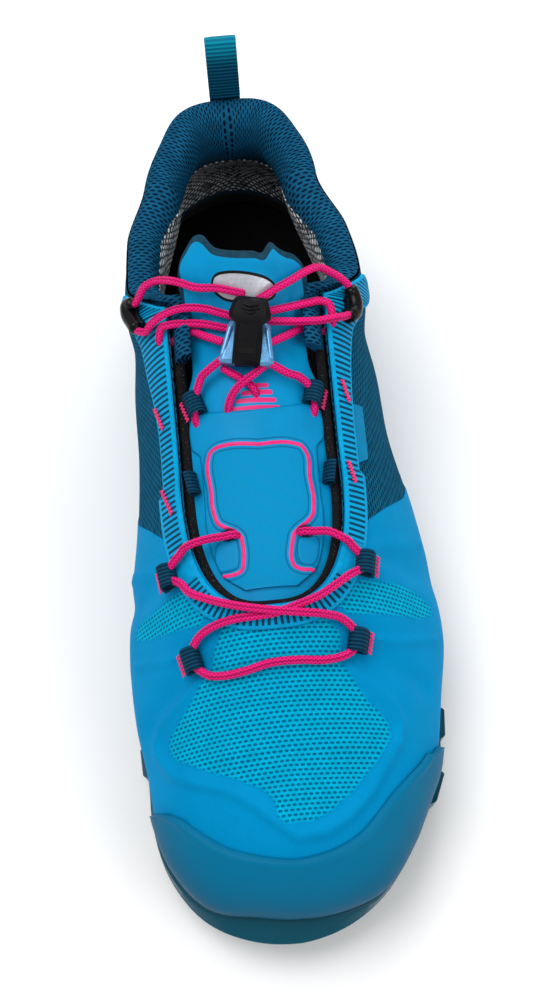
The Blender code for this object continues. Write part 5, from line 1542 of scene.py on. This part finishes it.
def loop_frame(base, normal, side, turn):
    along = turned((0, -1, 0), normal, turn)
    along = unit(along - normal * (along @ normal))
    out = np.cross(normal, along)
    return along, out * (1 if out[0] * side > 0 else -1)


def add_loop(shape, threads, base, normal, side, lift, turn, wide=1.):
    """Closed band of webbing round the lace with a pink bar of stitches at its outer end."""
    along, out = loop_frame(base, normal, side, turn)
    outer, inner = closed_curve(LOOP_OUTER, 48), closed_curve(LOOP_INNER, 48)
    slices = np.array((-.5, -.485, -.44, -.2, 0., .2, .44, .485, .5))
    ease = np.array((.35, .7, 1, 1, 1, 1, 1, .7, .35))
    rows, turns = [], []
    middle = (outer + inner) / 2
    around = arc_of(outer) / 1000
    for face in (outer, inner):
        order = range(len(slices)) if face is outer else range(len(slices))[::-1]
        for k in order:
            ring = middle + (face - middle) * ease[k]
            centre = base + normal * lift + along * LOOP_LENGTH * slices[k]
            rows.append(centre + (ring[:, :1] * out * wide + ring[:, 1:] * normal) / 1000)
            turns.append(np.stack([around, np.full(len(ring), slices[k] * LOOP_LENGTH)], -1))
    rows, turns = np.array(rows), np.array(turns)
    rows = np.concatenate([rows, rows[:, :1]], axis=1)
    turns = np.concatenate([turns, turns[:, :1]], axis=1)
    shape.grid(rows, wrap=True, run=turns[..., 0], turn=turns[..., 1])
    if wide == 1.:
        foot = base + normal * (lift - .0012)
        add_bartack(threads, foot + out * .0050, along, out, normal, LOOP_LENGTH * .9, .0016)


def add_bartack(shape, centre, along, out, normal, length, width, steps=11):
    """Zigzag bar of thread lying on the surface."""
    points = []
    for k in range(steps + 1):
        t = k / steps - .5
        points.append(centre + along * length * t + out * width * (.5 if k % 2 else -.5) + normal * .0002)
    for a, b in zip(points[:-1], points[1:]):
        cord_shape(shape, [a, (a + b) / 2 + normal * .0002, b], .00032, .0004, 6)


# Stitched bars on the lace band: side, then station share and distance from the edge of both ends
TACKS = [(-1, .429, .0086, .4583, .0048), (-1, .5227, .0083, .557, .0038), (1, .4244, .0034, .447, .0056),
         (1, .5191, .0024, .5423, .0043)]
PLAIN_AT = []


def place_loops():
    """Bases and normals of all lace loops."""
    out = []
    for name, x, station, lift, turn in LOOPS:
        base, normal = on_last(x, station, 0)
        out.append((name, base, normal, 1 if x > 0 else -1, lift, turn, 1.))
    for name, x, station, lift, turn, wide in TONGUE_LOOPS:
        base, normal = tongue_point(station, x / tongue_half(station), 0.)
        out.append((name, base, normal, 1 if x > 0 else -1, lift, turn, wide))
    return out


def make_loops(loops, threads):
    shape = Shape()
    for name, base, normal, side, lift, turn, wide in loops:
        add_loop(shape, threads, base, normal, side, lift, turn, wide)
    shape.object("lace_loops", webbing_look(), "webbing",
                 [loop[0] for loop in loops], 60)


# Side, and station and distance from the edge along the hook, in mm
HOOKS = {
    "hook_inner": (-1, [(87.2, -.8), (86.8, -4.4), (89.8, -9.0), (93.8, -11.0), (97.0, -9.4)]),
    "hook_outer": (1, [(89.3, -1.0), (91.2, -6.5), (95.0, -9.8), (98.6, -9.2), (100.4, -6.6)]),
}


def hook_path(name, drop=0.):
    lift = CLEAR * 2 + STAY_WALL + HOOK / 2 + .0004 - drop
    side, arc = HOOKS[name]
    return [near_edge(side, walk_at(s / 1000), a / 1000, -lift) for s, a in arc]


def make_hooks():
    """Glossy open hooks at the collar's corners, each with a flat foot under it."""
    shape = Shape()
    for name in HOOKS:
        cord_shape(shape, hook_path(name), HOOK / 2, .0004, 20)
        cord_shape(shape, hook_path(name, .0018)[1:], HOOK / 2 * 1.05, .0004, 20)
    gloss = plastic_look("glossy black", (.002, .002, .003), .20, shine=.18)
    shape.object("lace_hooks", gloss, "plastic", list(HOOKS), 60)


LOCK_STATION = 0.1106
LOCK_REACH = 0.009
SLIDER_START = 0.0115
# Distance down the lock, half width, underside and top of the slider, in mm
SLIDER = [(-1.6, 4.8, 7.1, 8.4), (-.2, 5.6, 7., 9.6), (3.6, 6.7, 6.9, 9.9), (5.2, 6.7, 6.9, 9.9),
          (7.2, 4.3, 6.9, 9.6), (8., 4.2, 3.1, 9.5), (14., 4.2, 3.1, 9.3), (19.2, 4.0, 3.1, 8.6),
          (20.4, 3.6, 3.6, 7.4)]
# Share of the housing's length and how far its section is drawn in
HOUSING = [(-.5, .0026), (-.42, .0020), (.1, .0009), (.42, -.0001), (.5, .0008)]
HOUSING_SHIFT = 0.0012
EDGE_BREAK = 0.0012
SLIDER_RIDGES = [(.0016, .0026), (.0028, .0032), (.0040, .0020)]
SLOT_AT = 0.0160


def lock_frame():
    """Middle of the chord it lies on over the tongue, and directions down the shoe, across and up."""
    head = tongue_point(LOCK_STATION - LOCK_REACH, 0., 0.)[0]
    foot = tongue_point(LOCK_STATION + LOCK_REACH, 0., 0.)[0]
    normal = tongue_point(LOCK_STATION, 0., 0.)[1]
    down = unit(foot - head)
    normal = unit(normal - down * (normal @ down))
    down = turned(down, normal, -LOCK_TURN)
    return (head + foot) / 2 + normal * CLEAR, down, np.cross(normal, down), normal


def soften(obj, width):
    """Rounds the object's sharp edges."""
    bevel = obj.modifiers.new("soft edges", "BEVEL")
    bevel.width = width
    bevel.segments = 3
    bevel.limit_method = "ANGLE"
    bevel.angle_limit = math.radians(32)


def lock_point():
    """Function from distances down, across and above the lock's seat to a point."""
    base, down, across, up = lock_frame()
    return lambda t, a, b: base + down * t + across * a + up * b


def make_housing(at):
    """Pale channel piece, open on top, with a rounded bar along each flank."""
    half, slot = LOCK_WIDTH / 2, LOCK_SLOT / 2
    low, floor, top = .0006, .0006 + LOCK_BASE, LOCK_HEIGHT
    rings = []
    for t, inset in HOUSING:
        side, lid, brow = half - inset, top - inset, top - inset - EDGE_BREAK
        right = [(side, low), (side, brow), (side - EDGE_BREAK, lid), (slot, lid), (slot, floor)]
        section = [(-side, low)] + right + [(-a, b) for a, b in right[:0:-1]]
        rings.append([at(LOCK_LENGTH * t + HOUSING_SHIFT, a, b) for a, b in section])
    housing = Shape().tube(rings)
    for side in (-1, 1):
        bar = [at(-.0040, side * (half - .0030), top - .0016), at(.0062, side * (half - .0010), top - .0012)]
        cord_shape(housing, bar, .0009, .0004, 12)
    pale = plastic_look("pale blue metal", (.10, .30, .56), .24, .3, .45, .5)
    soften(housing.object("lock_body", pale, "pale_plastic", ["lock_housing"], 35), .00045)


def make_slider(at):
    """Black slider that grips the laces, with three ridges at its head and a slot near its foot, drawn as a
    near-black block of painted shade.
    """
    rings = []
    for row in SLIDER:
        t, wide, low, top = np.array(row) / 1000
        half = [(wide, low), (wide, top - .0012), (wide - .0014, top)]
        section = [(-wide, low)] + half + [(-a, b) for a, b in half[:0:-1]]
        rings.append([at(t - SLIDER_START, a, b) for a, b in section])
    slider = Shape().tube(rings)
    for t, wide in SLIDER_RIDGES:
        end, middle = t - SLIDER_START - .0004, t - SLIDER_START + .0003
        ridge = [at(end, -wide, .0098), at(middle, 0, .0101), at(end, wide, .0098)]
        cord_shape(slider, ridge, .00032, .0004, 8)
    black = plastic_look("satin black", (.003, .003, .004), .28, shine=.10)
    soften(slider.object("lock_slider", black, "plastic", ["lock_slider"], 35), .0005)
    # The slot is not cut: a near-black matte block flush with the top stands in for the shade inside it,
    # painted shade
    long, wide = .0009, .0023
    corners = [(SLOT_AT - SLIDER_START + t, a) for t, a in
               ((-long, -wide), (-long, wide), (long, wide), (long, -wide))]
    slot_shade = Shape().tube([[at(t, a, z) for t, a in corners] for z in (.0070, .00915)])
    slot_shade.object("lock_slot", plastic_look("painted slot shade", (.0006, .0006, .0006), .8), "plastic", (), 35)


# Strands of lace, in mm: x, distance from the heel's back and height
STRANDS = {
    "lace_top_inner": [(-4.3, 96.4, 103.5), (-7.7, 95.4, 103.8), (-15.7, 93.8, 103.4), (-20.0, 91.0, 102.4),
                       (-22.4, 89.7, 101.9), (-25.4, 87.6, 99.8), (-29.7, 85.2, 95.8), (-31.8, 85.4, 94.6)],
    "lace_second_inner": [(-33.0, 99.9, 89.4), (-31.4, 99.4, 92.2), (-28.4, 98.7, 95.0), (-21.5, 98.2, 98.4),
                          (-13.0, 99.4, 98.9), (-8.2, 101.4, 98.8)],
    "lace_third_inner": [(-28.4, 102.8, 92.0), (-27.8, 101.6, 93.2), (-24.8, 101.5, 94.6),
                         (-21.7, 101.7, 95.0), (-13.2, 103.3, 95.8), (-9.8, 104.6, 96.0)],
    "lace_fourth_inner": [(-18.4, 103.3, 91.8), (-13.7, 106.9, 94.2), (-11.5, 108.6, 95.2)],
    "lace_top_outer": [(7.6, 97.9, 102.0), (11.2, 96.2, 102.6), (16.6, 93.6, 103.0), (19.6, 91.4, 102.4),
                       (22.2, 89.8, 101.8), (25.0, 87.8, 99.6), (28.9, 87.9, 96.4)],
    "lace_second_outer": [(8.6, 102.0, 98.3), (14.6, 101.1, 98.2), (20.6, 99.6, 97.2), (24.6, 98.6, 96.2),
                          (27.4, 99.6, 95.2), (28.0, 101.8, 93.8)],
    "lace_third_outer": [(9.6, 105.4, 97.0), (17.3, 105.8, 96.3), (23.9, 105.5, 95.4), (29.2, 104.0, 93.9),
                         (31.4, 103.0, 92.4)],
    "lace_fourth_outer": [(8.9, 111.7, 95.7), (13.1, 109.0, 93.9), (18.0, 105.4, 91.0)],
    "lace_side_inner": [(-10.5, 117.6, 94.8), (-13.8, 119.0, 92.9), (-16.2, 120.0, 90.6),
                        (-16.9, 121.2, 89.6)],
    "lace_side_outer": [(8.0, 120.8, 94.6), (11.8, 122.4, 92.4), (15.3, 122.8, 90.2), (16.5, 123.4, 89.2)],
    "lace_turn_inner": [(-10.7, 171.1, 79.1), (-12.9, 171.4, 79.1), (-17.8, 171.9, 79.3),
                        (-23.1, 173.1, 79.6), (-26.4, 173.5, 76.8), (-27.6, 174.4, 75.6)],
    "lace_turn_outer": [(12.0, 172.1, 78.9), (14.4, 172.4, 78.9), (19.5, 173.2, 79.4), (23.3, 175.4, 79.4),
                        (25.7, 176.7, 77.7), (26.3, 177.4, 77.1)],
    "lace_cross": [(-24.6, 201.4, 69.4), (-22.4, 200.1, 71.4), (-17.8, 198.8, 74.0), (-12.0, 198.4, 76.4),
                   (-5.8, 198.6, 77.8), (.1, 198.5, 78.6), (8.0, 196.2, 78.4), (14.1, 194.1, 78.2),
                   (19.4, 191.0, 77.8), (24.0, 187.8, 76.9)],
    "lace_over": [(-28.0, 184.0, 73.6), (-26.0, 187.2, 74.6), (-21.4, 190.3, 76.1), (-15.6, 193.3, 77.9),
                  (-8.6, 196.1, 79.8), (-.4, 198.4, 81.0), (8.1, 199.1, 79.0), (15.8, 199.4, 76.0),
                  (20.4, 200.2, 73.8)],
    "lace_bar": [(-23.8, 211.2, 66.8), (-21.7, 212.6, 67.0), (-17.7, 213.5, 68.0), (-10.4, 213.5, 70.6),
                 (-2.5, 212.2, 72.2), (6.7, 212.0, 71.9), (14.4, 212.2, 70.3), (19.2, 211.5, 69.6),
                 (21.8, 210.6, 69.4)],
    "lace_end_inner": [(-5.4, 120.9, 91.9), (-3.5, 122.3, 91.7), (-1.6, 124.0, 91.4), (.1, 125.4, 91.1)],
    "lace_end_outer": [(1.8, 122.0, 94.5), (-.2, 123.5, 94.6), (-2.8, 125.2, 94.4), (-4.9, 126.2, 92.8),
                       (-7.0, 127.9, 90.4), (-8.0, 129.6, 88.9)],
}
# How the lace goes on inside hooks and eyelets, same measures
THROUGH = {
    "eyelet_inner": [(-29.0, 104.0, 90.2), (-27.6, 104.6, 87.0), (-23.6, 103.4, 88.2)],
    "eyelet_outer": [(28.2, 103.8, 91.2), (26.0, 105.2, 88.4), (21.6, 105.6, 88.6)],
}
# Where the two ends run on inside the tongue's pocket: x and distance from the heel's back, in mm
POCKETS = {"lace_end_inner": [(1.2, 128.5), (1.6, 138.), (1.7, 150.)],
           "lace_end_outer": [(-9.2, 134.), (-9.8, 142.), (-9.9, 150.)]}
POCKET_DEPTH = .0021
# Runs between lock and hooks or eyelets: first strand, what the lace goes through, last strand
RUNS = [("lace_top_inner", "hook_inner", "lace_second_inner"),
        ("lace_top_outer", "hook_outer", "lace_third_outer"),
        ("lace_third_inner", "eyelet_inner", "lace_fourth_inner"),
        ("lace_second_outer", "eyelet_outer", "lace_fourth_outer")]


def strand(name):
    return spots(STRANDS[name])


def through(name):
    return hook_path(name) if name in HOOKS else spots(THROUGH[name])


def tongue_spot(x, station, lift):
    point, normal = tongue_point(station / 1000, x / 1000 / tongue_half(station / 1000), 0.)
    return point + normal * lift


def into(points, reach=.005):
    """The points with one more before the first, where the lace runs on inside the lock."""
    return [points[0] + unit(points[0] - points[1]) * reach] + points


def from_lock(name):
    """The strand's points from its end at the lock, with the one inside the lock."""
    points = strand(name)
    if abs(STRANDS[name][0][0]) > abs(STRANDS[name][-1][0]):
        points = points[::-1]
    return into(points)


def make_laces(loops):
    """The lace as it runs from the cover's holes through loops, hooks, eyelets and lock."""
    centre = {name: base + normal * lift for name, base, normal, side, lift, turn, wide in loops}
    shape = Shape()
    front = [spot(-.0086, .1708, .0772)] + strand("lace_turn_inner") + [centre["loop_mid_inner"]]
    front += strand("lace_over") + [centre["loop_front_outer"]] + strand("lace_bar")[::-1]
    front += [centre["loop_front_inner"]] + strand("lace_cross") + [centre["loop_mid_outer"]]
    front += strand("lace_turn_outer")[::-1] + [spot(.0100, .1716, .0768)]
    cord_shape(shape, front, LACE / 2)
    for first, fitting, last in RUNS:
        cord_shape(shape, from_lock(first) + through(fitting) + from_lock(last)[::-1], LACE / 2)
    for name, side in (("inner", -1), ("outer", 1)):
        run = into(strand("lace_side_" + name)) + [centre["loop_lock_" + name]]
        run += [tongue_spot(side * 18.4, 130.4, .0020), tongue_spot(side * 18.6, 134.6, -.0016)]
        cord_shape(shape, run, LACE / 2)
    look = lace_look()
    names = [n for n in STRANDS if not n.startswith("lace_end") and n != "lace_over"]
    shape.object("lace_run", look, "lace", names, 80)
    for name, pocket in POCKETS.items():
        points = into(strand(name)) + [tongue_spot(x, s, -POCKET_DEPTH) for x, s in pocket]
        piece = Shape()
        path = cord_shape(piece, points, LACE / 2)
        obj = piece.object(name + "_cord", look, "lace", [name], 80)


def make_threads(loops):
    """Pink stitched bars, and the napped edge inside the throat."""
    threads = Shape()
    lift = -(STAY_GAP + STAY_WALL + .0002)
    for side, first, first_in, last, last_in in TACKS:
        head = near_edge(side, walk_at(first * LENGTH), -first_in, lift)
        foot = near_edge(side, walk_at(last * LENGTH), -last_in, lift)
        level = cut_of(side, walk_at(last * LENGTH)) - .05
        normal = skin(side, walk_at((first + last) / 2 * LENGTH), level)[3:6]
        along = unit(foot - head)
        add_bartack(threads, (head + foot) / 2, along, unit(np.cross(normal, along)), normal,
                    float(np.linalg.norm(foot - head)), .0018, 14)
    make_loops(loops, threads)
    threads.object("pink_threads", thread_look(), "lace", (), 80)
    edge = Shape()
    arms = walks_between(STRIP_END - .004, THROAT_BEND / LENGTH, 60)
    points = [near_edge(-1, walk, .0001, .0032) for walk in arms]
    for side, angles in ((-1, np.linspace(3, 90, 40)), (1, np.linspace(87, 3, 39))):
        for angle in np.radians(angles):
            station = bend_station(angle)
            points.append(on_last(side * (float(throat_half(station)) + .0003), station, -.0034)[0])
    points += [near_edge(1, walk, .0001, .0032) for walk in arms[::-1]]
    cord_shape(edge, points, .0017, .0006, 14)
    edge.object("throat_edge", fuzzy_look(), "lining", (), 80)


# Corners of the side tag: station share and distance from the edge in mm, near the band and away from it
SIDE_TAG = [((.4467, 6.6), (.5157, 7.7)), ((.4437, 13.7), (.5067, 12.5))]
TAG_DEPTHS = (.0004, .0013)


def make_tag():
    """Small plain side tag beside the outer lace band."""
    (a, b), (c, d) = np.array(SIDE_TAG)
    u, v = np.linspace(0, 1, 14)[None, :, None], np.linspace(0, 1, 8)[:, None, None]
    chart = (a + (b - a) * u) * (1 - v) + (c + (d - c) * u) * v
    faces = [[[near_edge(1, walk_at(share * LENGTH), -arc / 1000, -depth) for share, arc in row]
              for row in chart] for depth in TAG_DEPTHS]
    look = Look("side tag", Roughness=.6, Specular_IOR_Level=.08)
    look.set(Base_Color=look.vary((0., .20, .40), .06, 300))
    Shape().slab(*faces).object("side_tag", look.mat, "overlay", (), 60)


# The camera as fitted to the photo
CAMERA_AT = (-.0063, -.2236, .5081)
CAMERA_AHEAD = (.0112, .4344, -.9007)
CAMERA_RIGHT = (.9957, -.0881, -.0301)
LENS, SENSOR = 54, 36


def make_camera():
    data = bpy.data.cameras.new("camera")
    data.lens = LENS
    data.sensor_width = SENSOR
    data.clip_start = .01
    camera = put("camera", data)
    ahead = unit(np.array(CAMERA_AHEAD))
    right = np.array(CAMERA_RIGHT)
    right = unit(right - ahead * (right @ ahead))
    matrix = np.eye(4)
    matrix[:3, 0], matrix[:3, 1], matrix[:3, 2] = right, np.cross(right, ahead), -ahead
    matrix[:3, 3] = CAMERA_AT
    camera.matrix_world = Matrix(matrix.tolist())
    bpy.context.scene.camera = camera


# Soft round lights: name, place, what it points at, size and power
LIGHTS = [("key", (-.35, .15, 1.1), (0, 0, .03), .8, 7.), ("fill", (.7, -.6, .8), (0, 0, .04), .7, 3.),
          ("rim", (.3, .9, .6), (0, .05, .05), .5, 2.5)]
FLOOR_REACH, FLOOR_Z = 3., -.0004
PALE = (.97, .97, .97)
SKY_STRENGTH = .62


def add_light(name, place, target, size, power):
    data = bpy.data.lights.new(name, "AREA")
    data.shape = "DISK"
    data.size = size
    data.energy = power
    light = put(name, data)
    light.location = place
    light.rotation_euler = (Vector(target) - Vector(place)).to_track_quat("-Z", "Y").to_euler()


def make_studio():
    """Pale floor and soft light from above."""
    mesh = bpy.data.meshes.new("floor")
    corners = [(x * FLOOR_REACH, y * FLOOR_REACH, 0.) for y in (-1, 1) for x in (-1, 1)]
    mesh.from_pydata(corners, [], [(0, 1, 3, 2)])
    obj = put("floor", mesh)
    obj.location.z = FLOOR_Z
    mesh.materials.append(Look("pale floor", Roughness=.9, Base_Color=PALE).mat)
    obj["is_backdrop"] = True
    world = bpy.data.worlds.new("studio")
    world.use_nodes = True
    sky = world.node_tree.nodes["Background"]
    sky.inputs[0].default_value = (*PALE, 1)
    sky.inputs[1].default_value = SKY_STRENGTH
    bpy.context.scene.world = world
    for light in LIGHTS:
        add_light(*light)
    bpy.context.scene.view_settings.view_transform = "Standard"


def main():
    make_camera()
    loops = place_loops()
    PLAIN_AT.extend([base + normal * .001 for name, base, normal, *rest in loops[:4]])
    make_laces(loops)
    make_sole()
    make_upper()
    make_collar()
    make_lining()
    make_tongue()
    make_flap()
    make_eyestay()
    make_toe_cap()
    make_pull_loop()
    make_hooks()
    at = lock_point()
    make_housing(at)
    make_slider(at)
    make_threads(loops)
    make_tag()
    make_studio()


main()
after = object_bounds()


def plain(value):
    return [plain(v) for v in value] if hasattr(value, "__len__") else float(value)


{"before": plain(before), "after": plain(after)}
